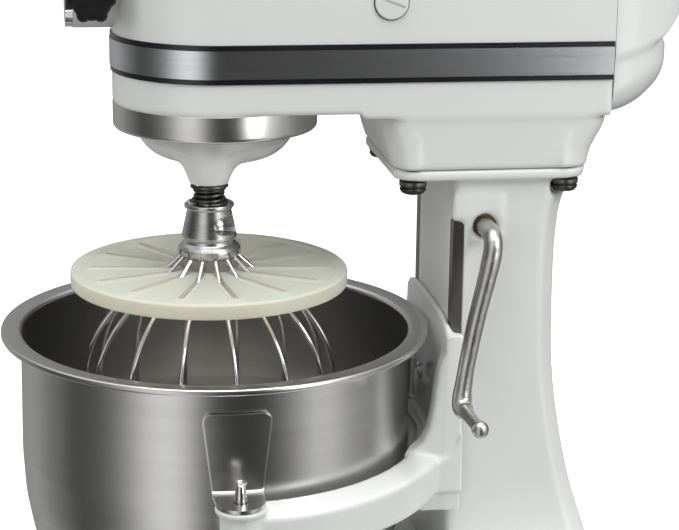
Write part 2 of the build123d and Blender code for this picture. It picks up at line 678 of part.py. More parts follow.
with BuildPart() as motor_housing:
    add(head_block(0, HEAD_SPLIT, HEAD_TOP))
    add(head_block(WALL, HEAD_SPLIT - 1, HEAD_TOP - WALL), mode=Mode.SUBTRACT)
    with BuildSketch(front_plane(HUB_FRONT + CAP_T)):
        with Locations((0, HUB_Z)):
            Circle(HUB_R)
    extrude(amount=-(HUB_WEB - HUB_FRONT - CAP_T + 14))
    with BuildSketch(front_plane(HUB_FRONT + CAP_T)):
        with Locations((0, HUB_Z)):
            Circle(SOCKET_R)
    extrude(amount=-(HUB_WEB - HUB_FRONT - CAP_T), mode=Mode.SUBTRACT)
    with BuildSketch(front_plane(HUB_WEB - 1)):
        with Locations((0, HUB_Z)):
            Circle(11)
    extrude(amount=-30, mode=Mode.SUBTRACT)
    with BuildSketch(side_plane(0)):
        with Locations((KNOB_Y, KNOB_Z)):
            Circle(3.1)
    extrude(amount=30, mode=Mode.SUBTRACT)
    for side in (-1, 1):
        with BuildSketch(side_plane(side * 5.3)):
            Polygon((HINGE_Y + 1.8, HUB_Z + 18), (HINGE_Y + 1.8, HINGE_Z - 3), (HINGE_Y - 1.8, HINGE_Z - 3),
                    (HINGE_Y - 1.8, HINGE_Z + 3), (HINGE_Y + 3, HINGE_Z + 3), (HINGE_Y + 8, HUB_Z + 18),
                    align=None)
        extrude(amount=side * 3.5)
    with BuildSketch(side_plane(-9)):
        with Locations((HINGE_Y, HINGE_Z)):
            Circle(1.25)
    extrude(amount=18, mode=Mode.SUBTRACT)
    with BuildSketch(at(COUNTER_X, COUNTER_Y, COUNTER_HIGH)):
        Circle(10)
    extrude(amount=HEAD_TOP - 8 - COUNTER_HIGH)
    with BuildSketch(at(COUNTER_X, COUNTER_Y, COUNTER_HIGH - 1)):
        Circle(7)
    extrude(amount=13, mode=Mode.SUBTRACT)
    with BuildSketch(side_plane(-70)):
        with Locations((BRUSH_Y, MOTOR_Z)):
            Circle(6.3)
    extrude(amount=140, mode=Mode.SUBTRACT)
    with BuildSketch(side_plane(-70)):
        with Locations((SPEED_Y, SPEED_Z)):
            Circle(4.1)
        with Locations((TOGGLE_Y, SPEED_Z)):
            Circle(5.1)
    extrude(amount=30, mode=Mode.SUBTRACT)
save(motor_housing, "motor_housing")

with BuildPart() as end_cover:
    add(cover_block(0))
    add(cover_block(WALL), mode=Mode.SUBTRACT)
    with BuildSketch(front_plane(SEAM_Y + 0.5)):
        add(dome_section(HEAD_R - WALL, 286.5 + 2 * WALL, HEAD_TOP - WALL, HEAD_EDGE_R - WALL))
    extrude(amount=10, mode=Mode.SUBTRACT)
    with BuildSketch(front_plane(COVER_REAR - 40)):
        with Locations((0, COVER_SCREW_Z)):
            Circle(2.6)
    extrude(amount=-60, mode=Mode.SUBTRACT)
save(end_cover, "end_cover")

with BuildPart() as trim_band:
    with BuildSketch(level(BAND_LOW + BAND_LINE)):
        Circle(HEAD_R + BAND_T)
        Rectangle(2 * (HEAD_R + BAND_T), SEAM_Y - 0.5, align=(Align.CENTER, Align.MIN))
        Circle(HEAD_R + 0.05, mode=Mode.SUBTRACT)
        Rectangle(2 * (HEAD_R + 0.05), SEAM_Y + 1, align=(Align.CENTER, Align.MIN), mode=Mode.SUBTRACT)
    extrude(amount=BAND_HIGH - BAND_LOW - 2 * BAND_LINE)
save(trim_band, "trim_band")

with BuildPart() as band_lines:
    for low in (BAND_LOW, BAND_HIGH - BAND_LINE):
        with BuildSketch(level(low)):
            Circle(HEAD_R + BAND_T * 0.7)
            Rectangle(2 * (HEAD_R + BAND_T * 0.7), SEAM_Y - 0.5, align=(Align.CENTER, Align.MIN))
            Circle(HEAD_R + 0.05, mode=Mode.SUBTRACT)
            Rectangle(2 * (HEAD_R + 0.05), SEAM_Y + 1, align=(Align.CENTER, Align.MIN), mode=Mode.SUBTRACT)
        extrude(amount=BAND_LINE - 0.02)
save(band_lines, "band_lines")

with BuildPart() as drip_ring:
    with BuildSketch(level(280.3)):
        Circle(HEAD_R)
        Circle(HEAD_R - 1.4, mode=Mode.SUBTRACT)
    extrude(amount=HEAD_LOW - 280.35)
    with BuildSketch(level(280.3)):
        Circle(HEAD_R)
        Circle(46, mode=Mode.SUBTRACT)
    extrude(amount=1.4)
    fillet(drip_ring.edges().filter_by(GeomType.CIRCLE).group_by(Axis.Z)[0].sort_by(SortBy.RADIUS)[-1], 1.2)
save(drip_ring, "drip_ring")

with BuildPart() as brush_caps:
    for side in (-1, 1):
        with BuildSketch(side_plane(side * (HEAD_R - 12))):
            with Locations((BRUSH_Y, MOTOR_Z)):
                Circle(6.2)
        extrude(amount=side * 12.1)
        with BuildSketch(side_plane(side * (HEAD_R + 0.05))):
            with Locations((BRUSH_Y, MOTOR_Z)):
                Circle(8.5)
        extrude(amount=side * 1.6)
        with BuildSketch(side_plane(side * (HEAD_R + 1.7))):
            with Locations((BRUSH_Y, MOTOR_Z)):
                Rectangle(20, 1.8, rotation=-20)
        extrude(amount=-side * 1.1, mode=Mode.SUBTRACT)
save(brush_caps, "brush_caps")

# ---------------------------------------------------------------- planetary drive
ANGLE = radians(REST_ANGLE)
BEATER_X, BEATER_Y = ORBIT * cos(ANGLE), ORBIT * sin(ANGLE)
RING_LOW, RING_HIGH = 288.0, 300.0
SHAFT_R = 7.0
BEATER_R = 5.6
BEATER_END_R = 4.3        # reduced end of the beater shaft, in the pinion
DISH_R = 38.5


def involute(base_r, radius):
    """Angle of the involute of base_r where it reaches radius, in radians."""
    turn = sqrt(max(radius * radius / (base_r * base_r) - 1, 0))
    return turn - atan2(turn, 1)


def gear_outline(teeth, module, tip, root, backlash, phase=0.0):
    """Plan of a spur gear: involute flanks from root to tip radius, a tooth centred on phase."""
    pitch = module * teeth / 2
    base_r = pitch * cos(radians(20))
    half_tooth = pi / (2 * teeth) + involute(base_r, pitch) - backlash / (2 * pitch)
    start = max(root, base_r * 1.001)
    radii = [start + (tip - start) * step / 3 for step in range(4)]
    flank = [(radius, half_tooth - involute(base_r, radius)) for radius in radii]
    flank = [(root * 0.98, flank[0][1])] + flank
    points = [(radius, -turn) for radius, turn in flank] + [(radius, turn) for radius, turn in reversed(flank)]
    with BuildSketch() as outline:
        Circle(root)
        for number in range(teeth):
            centre = radians(phase) + 2 * pi * number / teeth
            Polygon(*[(r * cos(centre + turn), r * sin(centre + turn)) for r, turn in points], align=None)
    return outline.sketch


RING_PITCH, PINION_PITCH = MODULE * RING_TEETH / 2, MODULE * PINION_TEETH / 2
with BuildPart() as ring_gear:
    with BuildSketch(level(RING_LOW)):
        Circle(RING_HOLE)
        add(gear_outline(RING_TEETH, MODULE, RING_PITCH + 1.25 * MODULE, RING_PITCH - 0.9 * MODULE, -0.22,
                         REST_ANGLE), mode=Mode.SUBTRACT)
    extrude(amount=RING_HIGH - RING_LOW)
save(ring_gear, "ring_gear")

with BuildPart() as beater_pinion:
    with BuildSketch(at(BEATER_X, BEATER_Y, RING_LOW + 1)):
        add(gear_outline(PINION_TEETH, MODULE, PINION_PITCH + 0.9 * MODULE, PINION_PITCH - 1.25 * MODULE, 0.22,
                         REST_ANGLE))
        Circle(BEATER_END_R + 0.01, mode=Mode.SUBTRACT)
    extrude(amount=RING_HIGH - RING_LOW - 2)
save(beater_pinion, "beater_pinion")

BOSS_LOW = 255.7
with BuildPart() as planetary:
    add(turned([(0, 262.6), (20, 262.6), (27, 263.6), (33.5, 266.2), (37, 269.6), (DISH_R, 273.6),
                (DISH_R + 1, 282), (DISH_R + 1, 286.5), (0, 286.5)]))
    with BuildSketch(level(286.5)):
        Circle(13)
    extrude(amount=14)
    add(turned([(0, BOSS_LOW), (8.6, BOSS_LOW), (10.2, BOSS_LOW + 1), (11.3, 258.6), (11.9, 262),
                (11.9, 270), (0, 270)], BEATER_Y, BEATER_X))
    with BuildSketch(level(266)):
        Circle(SHAFT_R + 0.01)
    extrude(amount=60, mode=Mode.SUBTRACT)
    with BuildSketch(at(BEATER_X, BEATER_Y, 250)):
        Circle(8.5)
    extrude(amount=40, mode=Mode.SUBTRACT)
    with BuildSketch(side_plane(-20)):
        with Locations((0, 294)):
            Circle(2.0)
    extrude(amount=40, mode=Mode.SUBTRACT)
save(planetary, "planetary_housing")

with BuildPart() as beater_bush:
    with BuildSketch(at(BEATER_X, BEATER_Y, BOSS_LOW + 0.6)):
        Circle(8.49)
        Circle(BEATER_R + FIT, mode=Mode.SUBTRACT)
    extrude(amount=286.5 - BOSS_LOW - 0.6)
save(beater_bush, "beater_bush")

with BuildPart() as planetary_pin:
    with BuildSketch(side_plane(-13)):
        with Locations((0, 294)):
            Circle(1.98)
    extrude(amount=26)
save(planetary_pin, "planetary_pin")

# ---------------------------------------------------------------- whisk
HUB_TOP, HUB_LOW, PIN_Z = 245.2, 216.4, 236.5
PIN_ANGLE = 20.0
PRESS = 4.0
WIRE_R = 1.15
LOOPS = 7
WIRE_PHASE = 6.9
DISC_R, DISC_TOP, DISC_T = 72.0, 210.8, 8.0
DISC_SLOT_IN, DISC_SLOT_OUT = 17.0, 60.0
WHISK_LOW = 60.0
# Side of the whisk from the hub to the widest place and on to the bottom, as (radius, height).
WIRE_POINTS = [(11.2, 222), (13.2, 218.4), (22, 210), (36, 200), (49, 189), (58.5, 176), (64.5, 161),
               (66.5, 144), (64.5, 124), (58, 102), (46.5, 82)]

with BuildPart() as beater_shaft:
    with BuildSketch(at(BEATER_X, BEATER_Y, PIN_Z - 7)):
        Circle(BEATER_R)
    extrude(amount=286.6 - PIN_Z + 7)
    chamfer(beater_shaft.edges().group_by(Axis.Z)[0], 1)
    with BuildSketch(at(BEATER_X, BEATER_Y, 286.6)):
        Circle(BEATER_END_R)
    extrude(amount=14.4)
    with BuildSketch(Plane(origin=(BEATER_X, AXIS_Y + BEATER_Y, PIN_Z), x_dir=(0, 0, 1),
                           z_dir=(cos(radians(PIN_ANGLE)), sin(radians(PIN_ANGLE)), 0))):
        Circle(2.02)
    extrude(amount=20, both=True, mode=Mode.SUBTRACT)
save(beater_shaft, "beater_shaft")

with BuildPart() as cross_pin:
    with BuildSketch(Plane(origin=(BEATER_X, AXIS_Y + BEATER_Y, PIN_Z), x_dir=(0, 0, 1),
                           z_dir=(cos(radians(PIN_ANGLE)), sin(radians(PIN_ANGLE)), 0))):
        Circle(2)
    extrude(amount=13.6, both=True)
    chamfer(cross_pin.edges().filter_by(GeomType.CIRCLE), 0.5)
save(cross_pin, "cross_pin")

with BuildPart() as beater_spring:
    with BuildSketch(Plane(origin=(BEATER_X, AXIS_Y + BEATER_Y, 0), x_dir=(1, 0, 0), z_dir=(0, -1, 0))):
        Polygon((8.2, HUB_TOP - 1.0), (10.2, HUB_TOP + 1.0), (7.8, 250.4), (10.4, BOSS_LOW - 0.05),
                (BEATER_R + 0.3, BOSS_LOW - 0.05), (BEATER_R + 0.3, HUB_TOP - 1.0), align=None)
    revolve(axis=Axis((BEATER_X, AXIS_Y + BEATER_Y, 0), (0, 0, 1)))
save(beater_spring, "beater_spring")


def slot_sector(start, stop, radius):
    """Sector of a disc about the beater axis, in plan, both sides of the hub."""
    with BuildSketch() as sector:
        for turn in (0, 180):
            rim = [radians(turn + start + (stop - start) * step / 4) for step in range(5)]
            Polygon((0, 0), *[(radius * cos(a), radius * sin(a)) for a in rim], align=None)
    return sector.sketch


with BuildPart() as whisk_hub:
    add(turned([(0, HUB_LOW), (13.6, HUB_LOW), (15.6, HUB_LOW + 1.6), (16.3, HUB_LOW + 2.4),
                (16.3, HUB_LOW + 5), (14.6, HUB_LOW + 7), (13.2, HUB_LOW + 8.6), (13.2, HUB_LOW + 9.6), (14.3, HUB_LOW + 11),
                (14.3, HUB_LOW + 12), (11.5, HUB_TOP - 3.6), (11.5, HUB_TOP - 2.8), (12.6, HUB_TOP - 1.9),
                (12.6, HUB_TOP - 0.5), (12.0, HUB_TOP), (0, HUB_TOP)], BEATER_Y, BEATER_X))
    with BuildSketch(at(BEATER_X, BEATER_Y, PIN_Z - 12)):
        Circle(BEATER_R + 0.25)
    extrude(amount=40, mode=Mode.SUBTRACT)
    with BuildSketch(at(BEATER_X, BEATER_Y, HUB_TOP - 1.1)):
        Circle(10.6)
    extrude(amount=4, mode=Mode.SUBTRACT)
    with BuildSketch(at(BEATER_X, BEATER_Y, PIN_Z - 2.4 - PRESS)):
        add(slot_sector(PIN_ANGLE, PIN_ANGLE + 64, 20))
    extrude(amount=4.8 + PRESS, mode=Mode.SUBTRACT)
    with BuildSketch(Plane(origin=(BEATER_X, AXIS_Y + BEATER_Y, PIN_Z - PRESS / 2), x_dir=(0, 0, 1),
                           z_dir=(cos(radians(PIN_ANGLE)), sin(radians(PIN_ANGLE)), 0))):
        SlotOverall(PRESS + 4.8, 4.8)
    extrude(amount=20, both=True, mode=Mode.SUBTRACT)
    with BuildSketch(at(BEATER_X, BEATER_Y, PIN_Z - 2.4 - PRESS)):
        add(slot_sector(PIN_ANGLE + 42, PIN_ANGLE + 64, 20))
    extrude(amount=40, mode=Mode.SUBTRACT)
save(whisk_hub, "whisk_hub")


def wire_path(points):
    """Runs joined by arcs, each arc as large as its two runs allow."""
    radii = []
    for before, corner, after in zip(points, points[1:], points[2:]):
        turn = (corner - before).get_angle(after - corner)
        radii.append(0.45 * min((corner - before).length, (after - corner).length) / tan(radians(turn / 2)))
    return FilletPolyline(*points, radius=radii)


with BuildPart() as whisk_wires:
    for number in range(LOOPS):
        direction = radians(WIRE_PHASE + 180 * number / LOOPS)
        low = WHISK_LOW + WIRE_R + 2.5 * number
        half = WIRE_POINTS + [(28, low + 6.5), (9, low)]
        profile = half + [(-radius, height) for radius, height in reversed(half)]
        with BuildLine() as loop:
            wire_path([Vector(BEATER_X + r * cos(direction), AXIS_Y + BEATER_Y + r * sin(direction), z)
                       for r, z in profile])
        with BuildSketch(Plane(loop.line @ 0, z_dir=loop.line % 0)):
            Circle(WIRE_R)
        sweep(path=loop.line)
save(whisk_wires, "whisk_wires")

with BuildPart() as whisk_disc:
    add(turned([(0, DISC_TOP - DISC_T), (DISC_R - 1, DISC_TOP - DISC_T), (DISC_R, DISC_TOP - DISC_T + 1),
                (DISC_R, DISC_TOP - 1), (DISC_R - 1, DISC_TOP), (0, DISC_TOP)], BEATER_Y, BEATER_X))
    with BuildSketch(at(BEATER_X, BEATER_Y, DISC_TOP - DISC_T)):
        Circle(DISC_SLOT_IN - 2)
        for number in range(2 * LOOPS):
            turn = WIRE_PHASE + 180 * number / LOOPS
            with PolarLocations((DISC_SLOT_IN + DISC_SLOT_OUT) / 2, 1, start_angle=turn):
                SlotOverall(DISC_SLOT_OUT - DISC_SLOT_IN, 2 * WIRE_R + 0.8)
    extrude(amount=DISC_T, mode=Mode.SUBTRACT)
save(whisk_disc, "whisk_disc")

# ---------------------------------------------------------------- gears above the planetary
with BuildPart() as vertical_shaft:
    with BuildSketch(level(266.2)):
        Circle(SHAFT_R)
    extrude(amount=345 - 266.2)
    with BuildSketch(side_plane(-20)):
        with Locations((0, 294)):
            Circle(2.0)
    extrude(amount=40, mode=Mode.SUBTRACT)
save(vertical_shaft, "vertical_shaft")

CENTRE_PITCH, COUNTER_PITCH = MODULE * CENTRE_TEETH / 2, MODULE * COUNTER_TEETH / 2
COUNTER_DIRECTION = degrees(atan2(COUNTER_Y, COUNTER_X))
CROWN_LOW, CROWN_HIGH, CROWN_IN, CROWN_OUT = 336.0, 341.4, 21.0, 31.0
with BuildPart() as centre_gear:
    with BuildSketch(level(326)):
        add(gear_outline(CENTRE_TEETH, MODULE, CENTRE_PITCH + 0.9 * MODULE, CENTRE_PITCH - 1.25 * MODULE, 0.25,
                         COUNTER_DIRECTION))
    extrude(amount=CROWN_LOW - 326)
    with BuildSketch(level(320)):
        Circle(13)
    extrude(amount=CROWN_HIGH - 320)
    with BuildSketch(level(CROWN_LOW)):
        for number in range(BEVEL_RING_TEETH):
            with PolarLocations((CROWN_IN + CROWN_OUT) / 2, 1, start_angle=360 * number / BEVEL_RING_TEETH):
                Rectangle(CROWN_OUT - CROWN_IN, 2.4)
    extrude(amount=CROWN_HIGH - CROWN_LOW, taper=12)
    with BuildSketch(level(319)):
        Circle(SHAFT_R + 0.01)
    extrude(amount=30, mode=Mode.SUBTRACT)
save(centre_gear, "centre_gear")

WHEEL_MODULE = 1.1
WHEEL_LOW, WHEEL_HIGH = MOTOR_Z - 5, MOTOR_Z + 5
WHEEL_TIP = 17.5
with BuildPart() as counter_shaft:
    with BuildSketch(at(COUNTER_X, COUNTER_Y, 304)):
        Circle(5)
    extrude(amount=COUNTER_HIGH + 10 - 304)
    with BuildSketch(at(COUNTER_X, COUNTER_Y, 325)):
        add(gear_outline(COUNTER_TEETH, MODULE, COUNTER_PITCH + 0.9 * MODULE, COUNTER_PITCH - 1.25 * MODULE, 0.25,
                         COUNTER_DIRECTION + 180 + 180 / COUNTER_TEETH))
    extrude(amount=12)
save(counter_shaft, "counter_shaft")

with BuildPart() as worm_wheel:
    with BuildSketch(at(COUNTER_X, COUNTER_Y, WHEEL_LOW)):
        add(gear_outline(WORM_WHEEL_TEETH, WHEEL_MODULE, WHEEL_TIP, WHEEL_TIP - 2.2, 0.2))
        Circle(5.01, mode=Mode.SUBTRACT)
    extrude(amount=WHEEL_HIGH - WHEEL_LOW)
save(worm_wheel, "worm_wheel")

with BuildPart() as gearbox_bushes:
    with BuildSketch(level(303)):
        Circle(9.99)
        Circle(SHAFT_R + FIT, mode=Mode.SUBTRACT)
    extrude(amount=16)
    for low in (304, COUNTER_HIGH + 0.5):
        with BuildSketch(at(COUNTER_X, COUNTER_Y, low)):
            Circle(6.99)
            Circle(5 + FIT, mode=Mode.SUBTRACT)
        extrude(amount=11)
    with BuildSketch(front_plane(HUB_WEB + 0.1)):
        with Locations((0, HUB_Z)):
            Circle(10.99)
            Circle(DRIVE_R + FIT, mode=Mode.SUBTRACT)
    extrude(amount=-13.9)
save(gearbox_bushes, "gearbox_bushes")

CROWN_PINION_R, CROWN_PINION_ROOT = HUB_Z - CROWN_HIGH - GAP, 10.0
SQUARE = 9.6
with BuildPart() as attachment_shaft:
    with BuildSketch(front_plane(-31)):
        with Locations((0, HUB_Z)):
            add(gear_outline(BEVEL_PINION_TEETH, 1.95, CROWN_PINION_R, CROWN_PINION_ROOT, 0.4))
    extrude(amount=-10)
    with BuildSketch(front_plane(HUB_WEB + 0.1)):
        with Locations((0, HUB_Z)):
            Circle(DRIVE_R)
    extrude(amount=-16)
    with BuildSketch(front_plane(HUB_WEB + 14.2)):
        with Locations((0, HUB_Z)):
            Circle(12)
    extrude(amount=-10)
    with BuildSketch(front_plane(HUB_WEB)):
        with Locations((0, HUB_Z)):
            Rectangle(SQUARE, SQUARE)
    extrude(amount=-14, mode=Mode.SUBTRACT)
save(attachment_shaft, "attachment_shaft")


# ---------------------------------------------------------------- motor
def bar(radius, start, stop, x=0.0, height=MOTOR_Z, hole=0.0):
    """Round bar or tube along Y between two distances behind the bowl axis."""
    with BuildPart() as piece:
        with BuildSketch(front_plane(start)):
            with Locations((x, height)):
                Circle(radius)
                if hole:
                    Circle(hole, mode=Mode.SUBTRACT)
        extrude(amount=start - stop)
    return piece.part


ARMATURE_R, ARMATURE = 25.0, (106, 152)
PLATE_Y = ((58, 64), (186, 192))
WORM_TIP, WORM_ROOT, WORM, WORM_RIDGES = COUNTER_X - WHEEL_TIP - 0.3, 6.0, (27, 51), 7
with BuildPart() as armature_shaft:
    add(bar(5, 20, 197))
    add(bar(WORM_ROOT, *WORM))
    for number in range(WORM_RIDGES):
        ridge = WORM[0] + 1 + number * pi * WHEEL_MODULE
        add(bar(WORM_TIP, ridge, ridge + 1.6))
save(armature_shaft, "armature_shaft")

with BuildPart() as armature_core:
    add(bar(ARMATURE_R, *ARMATURE, hole=5.01))
    with BuildSketch(front_plane(ARMATURE[0] - 1)):
        with Locations((0, MOTOR_Z)):
            with PolarLocations(ARMATURE_R - 4, 12):
                Rectangle(12, 2.6)
    extrude(amount=-(ARMATURE[1] - ARMATURE[0] + 2), mode=Mode.SUBTRACT)
save(armature_core, "armature_core")

with BuildPart() as armature_windings:
    add(bar(22, ARMATURE[0] - 9, ARMATURE[0] - 0.05, hole=5.02))
    add(bar(22, ARMATURE[1] + 0.05, ARMATURE[1] + 9, hole=5.02))
    fillet(armature_windings.edges().filter_by(GeomType.CIRCLE).sort_by(SortBy.RADIUS)[-4:], 2.5)
save(armature_windings, "armature_windings")

with BuildPart() as commutator:
    add(bar(13, BRUSH_Y - 8, BRUSH_Y + 8, hole=5.02))
    with BuildSketch(front_plane(BRUSH_Y - 9)):
        with Locations((0, MOTOR_Z)):
            with PolarLocations(13, 24):
                Rectangle(1.6, 0.6)
    extrude(amount=-18, mode=Mode.SUBTRACT)
save(commutator, "commutator")

with BuildPart() as fan:
    add(bar(32, 176, 178, hole=5.02))
    add(bar(10, 166, 177, hole=5.02))
    with BuildSketch(front_plane(166)):
        with Locations((0, MOTOR_Z)):
            with PolarLocations(20, 10, start_angle=9):
                Rectangle(22, 1.6)
    extrude(amount=-10.5)
save(fan, "fan")

with BuildPart() as field_core:
    add(bar(39, *ARMATURE))
    with BuildSketch(front_plane(ARMATURE[0] - 1)):
        with Locations((0, MOTOR_Z)):
            Circle(ARMATURE_R + 0.8)
            Rectangle(64, 34)
        with Locations((-35, MOTOR_Z + 8), (35, MOTOR_Z - 8)):
            Circle(2.1)
    extrude(amount=-(ARMATURE[1] - ARMATURE[0] + 2), mode=Mode.SUBTRACT)
save(field_core, "field_core")

with BuildPart() as field_coils:
    for side in (-1, 1):
        for start, stop in ((ARMATURE[0] - 10, ARMATURE[0] - 0.1), (ARMATURE[1] + 0.1, ARMATURE[1] + 10)):
            with BuildSketch(front_plane(start)):
                with Locations((0, MOTOR_Z + side * 31)):
                    RectangleRounded(44, 10, 4)
            extrude(amount=start - stop)
save(field_coils, "field_coils")

with BuildPart() as motor_screws:
    add(bar(2, PLATE_Y[0][0], PLATE_Y[1][1], -35, MOTOR_Z + 8))
    add(bar(2, PLATE_Y[0][0], PLATE_Y[1][1], 35, MOTOR_Z - 8))
    add(bar(2.5, PLATE_Y[1][1] + 0.1, COVER_REAR + 0.1, 0, COVER_SCREW_Z))
    add(bar(4.5, COVER_REAR + 0.05, COVER_REAR + 1.6, 0, COVER_SCREW_Z))
save(motor_screws, "motor_screws")

plate_half = HEAD_R - WALL - 0.1
with BuildPart() as bearing_plates:
    for start, stop in PLATE_Y:
        with BuildSketch(front_plane(start)):
            add(dome_section(plate_half, HEAD_SPLIT + 1, HEAD_TOP - WALL - 0.1, HEAD_EDGE_R - WALL))
            with Locations((0, MOTOR_Z)):
                Circle(24, mode=Mode.SUBTRACT)
                Circle(14)
                Rectangle(60, 8)
                Rectangle(8, 60)
                Circle(11, mode=Mode.SUBTRACT)
            with Locations((-35, MOTOR_Z + 8), (35, MOTOR_Z - 8)):
                Circle(2.1, mode=Mode.SUBTRACT)
        extrude(amount=start - stop)
save(bearing_plates, "bearing_plates")

with BuildPart() as motor_bearings:
    for start, stop in PLATE_Y:
        add(bar(10.99, start, stop, hole=9))
        add(bar(6.9, start, stop, hole=5 + FIT))
        add(bar(9.1, start + 1, stop - 1, hole=6.8))
save(motor_bearings, "motor_bearings")

with BuildPart() as brushes:
    for side in (-1, 1):
        with BuildSketch(side_plane(side * 13.4)):
            with Locations((BRUSH_Y, MOTOR_Z)):
                Rectangle(7, 5)
        extrude(amount=side * 18)
save(brushes, "brushes")

with BuildPart() as brush_holders:
    for side in (-1, 1):
        with BuildSketch(side_plane(side * 18)):
            with Locations((BRUSH_Y, MOTOR_Z)):
                Circle(6)
                Rectangle(7.1, 5.1, mode=Mode.SUBTRACT)
        extrude(amount=side * 23.5)
save(brush_holders, "brush_holders")

# ---------------------------------------------------------------- controls and small pieces
with BuildPart() as hub_cover:
    with BuildSketch(front_plane(HUB_FRONT)):
        with Locations((0, HUB_Z)):
            Circle(HUB_R - 0.5)
        with Locations((0, (HUB_Z + HUB_R - 4 + HINGE_Z) / 2)):
            Rectangle(10, HINGE_Z - HUB_Z - HUB_R + 4)
    extrude(amount=0.1 - CAP_T)
    with BuildSketch(side_plane(-5)):
        with Locations((HINGE_Y, HINGE_Z)):
            Circle(2.3)
    extrude(amount=10)
    with BuildSketch(side_plane(-5)):
        with Locations((HINGE_Y, HINGE_Z)):
            Circle(1.3)
    extrude(amount=10, mode=Mode.SUBTRACT)
save(hub_cover, "hub_cover")

with BuildPart() as cover_pin:
    with BuildSketch(side_plane(-9)):
        with Locations((HINGE_Y, HINGE_Z)):
            Circle(1.24)
    extrude(amount=18)
save(cover_pin, "cover_hinge_pin")

KNOB_IN, KNOB_OUT = 24.0, 37.0
with BuildPart() as attachment_knob:
    with BuildSketch(side_plane(SOCKET_R + 0.4)):
        with Locations((KNOB_Y, KNOB_Z)):
            Circle(3.05)
    extrude(amount=KNOB_IN - SOCKET_R)
    with BuildSketch(side_plane(KNOB_IN)):
        with Locations((KNOB_Y, KNOB_Z)):
            Circle(10.2)
            with PolarLocations(8.6, 6):
                Circle(3.4)
    extrude(amount=KNOB_OUT - KNOB_IN)
    chamfer(attachment_knob.faces().sort_by(Axis.X)[-1].edges(), 1)
save(attachment_knob, "attachment_knob")

with BuildPart() as control_plate:
    with BuildSketch(side_plane(-HEAD_R - 0.05)):
        with Locations(((SPEED_Y + TOGGLE_Y) / 2 + 4, SPEED_Z)):
            RectangleRounded(72, 34, 8)
        with Locations((SPEED_Y, SPEED_Z)):
            Circle(4.2, mode=Mode.SUBTRACT)
        with Locations((TOGGLE_Y, SPEED_Z)):
            Circle(4.1, mode=Mode.SUBTRACT)
    extrude(amount=-1.4)
    with BuildSketch(side_plane(-HEAD_R + 6)):
        with Locations((TOGGLE_Y, SPEED_Z)):
            Circle(5)
            Circle(3.6, mode=Mode.SUBTRACT)
    extrude(amount=-12)
save(control_plate, "control_plate")

ARM_LENGTH = 24.0
with BuildPart() as speed_lever:
    with BuildSketch(side_plane(-44)):
        with Locations((SPEED_Y, SPEED_Z)):
            Circle(4)
    extrude(amount=-14)
    with BuildSketch(side_plane(-HEAD_R - 2)):
        with Locations((SPEED_Y + ARM_LENGTH / 2, SPEED_Z)):
            SlotOverall(ARM_LENGTH + 11, 11)
    extrude(amount=-2.6)
    with BuildSketch(side_plane(-HEAD_R - 4.5)):
        with Locations((SPEED_Y + ARM_LENGTH, SPEED_Z)):
            Circle(5)
    extrude(amount=-12)
    chamfer(speed_lever.faces().sort_by(Axis.X)[0].edges(), 1.5)
save(speed_lever, "speed_lever")

TOGGLE_TILT = radians(16)
TOGGLE_END = (-cos(TOGGLE_TILT), sin(TOGGLE_TILT), 0)
TOGGLE_PIVOT = (-HEAD_R, AXIS_Y + TOGGLE_Y, SPEED_Z)
with BuildPart() as power_toggle:
    with BuildSketch(Plane(origin=TOGGLE_PIVOT, x_dir=TOGGLE_END, z_dir=(0, 0, 1))):
        Polygon((0, 0), (0, 1.5), (9, 1.5), (16, 2.6), (17, 1.8), (17, 0), align=None)
    revolve(axis=Axis(TOGGLE_PIVOT, TOGGLE_END))
    with BuildSketch(Plane(origin=TOGGLE_PIVOT)):
        Circle(2.4)
    extrude(amount=2.4, both=True)
save(power_toggle, "power_toggle")

with BuildPart() as cord_gland:
    with BuildSketch(front_plane(BASE_REAR - 7)):
        with Locations((GLAND_X, GLAND_Z)):
            Circle(GLAND_R)
            Circle(3.6, mode=Mode.SUBTRACT)
    extrude(amount=-8)
    with BuildSketch(front_plane(BASE_REAR)):
        with Locations((GLAND_X, GLAND_Z)):
            Circle(GLAND_R + 2)
            Circle(3.6, mode=Mode.SUBTRACT)
    extrude(amount=-5)
    fillet(cord_gland.edges().group_by(Axis.Y)[-1].sort_by(SortBy.RADIUS)[-1], 1.5)
save(cord_gland, "cord_gland")
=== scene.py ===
"""Looks of the bowl-lift stand mixer: materials, detailed pieces, light and camera.

Metres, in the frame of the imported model: +Z up, front towards -Y, lift lever on +X.
"""
import bmesh
import bpy
import json
import numpy as np
from math import asin, cos, pi, radians, sin, sqrt
from mathutils import Matrix, Vector, noise


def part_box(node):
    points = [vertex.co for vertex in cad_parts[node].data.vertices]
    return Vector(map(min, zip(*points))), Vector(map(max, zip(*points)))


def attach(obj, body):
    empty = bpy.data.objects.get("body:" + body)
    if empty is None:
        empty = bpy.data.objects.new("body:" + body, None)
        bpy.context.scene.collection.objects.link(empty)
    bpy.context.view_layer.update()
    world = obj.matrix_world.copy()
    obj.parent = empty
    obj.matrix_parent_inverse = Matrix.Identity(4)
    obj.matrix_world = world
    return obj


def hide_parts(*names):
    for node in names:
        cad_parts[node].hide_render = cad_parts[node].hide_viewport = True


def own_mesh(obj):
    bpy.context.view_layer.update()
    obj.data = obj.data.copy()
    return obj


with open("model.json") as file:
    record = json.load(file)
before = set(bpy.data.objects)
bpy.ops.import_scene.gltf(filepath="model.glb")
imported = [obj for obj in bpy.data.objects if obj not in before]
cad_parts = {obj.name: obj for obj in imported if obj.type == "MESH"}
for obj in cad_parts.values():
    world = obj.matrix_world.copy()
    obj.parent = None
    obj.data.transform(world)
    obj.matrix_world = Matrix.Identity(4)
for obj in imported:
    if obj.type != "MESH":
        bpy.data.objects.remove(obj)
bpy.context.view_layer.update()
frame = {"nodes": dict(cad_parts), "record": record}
MM = 0.001
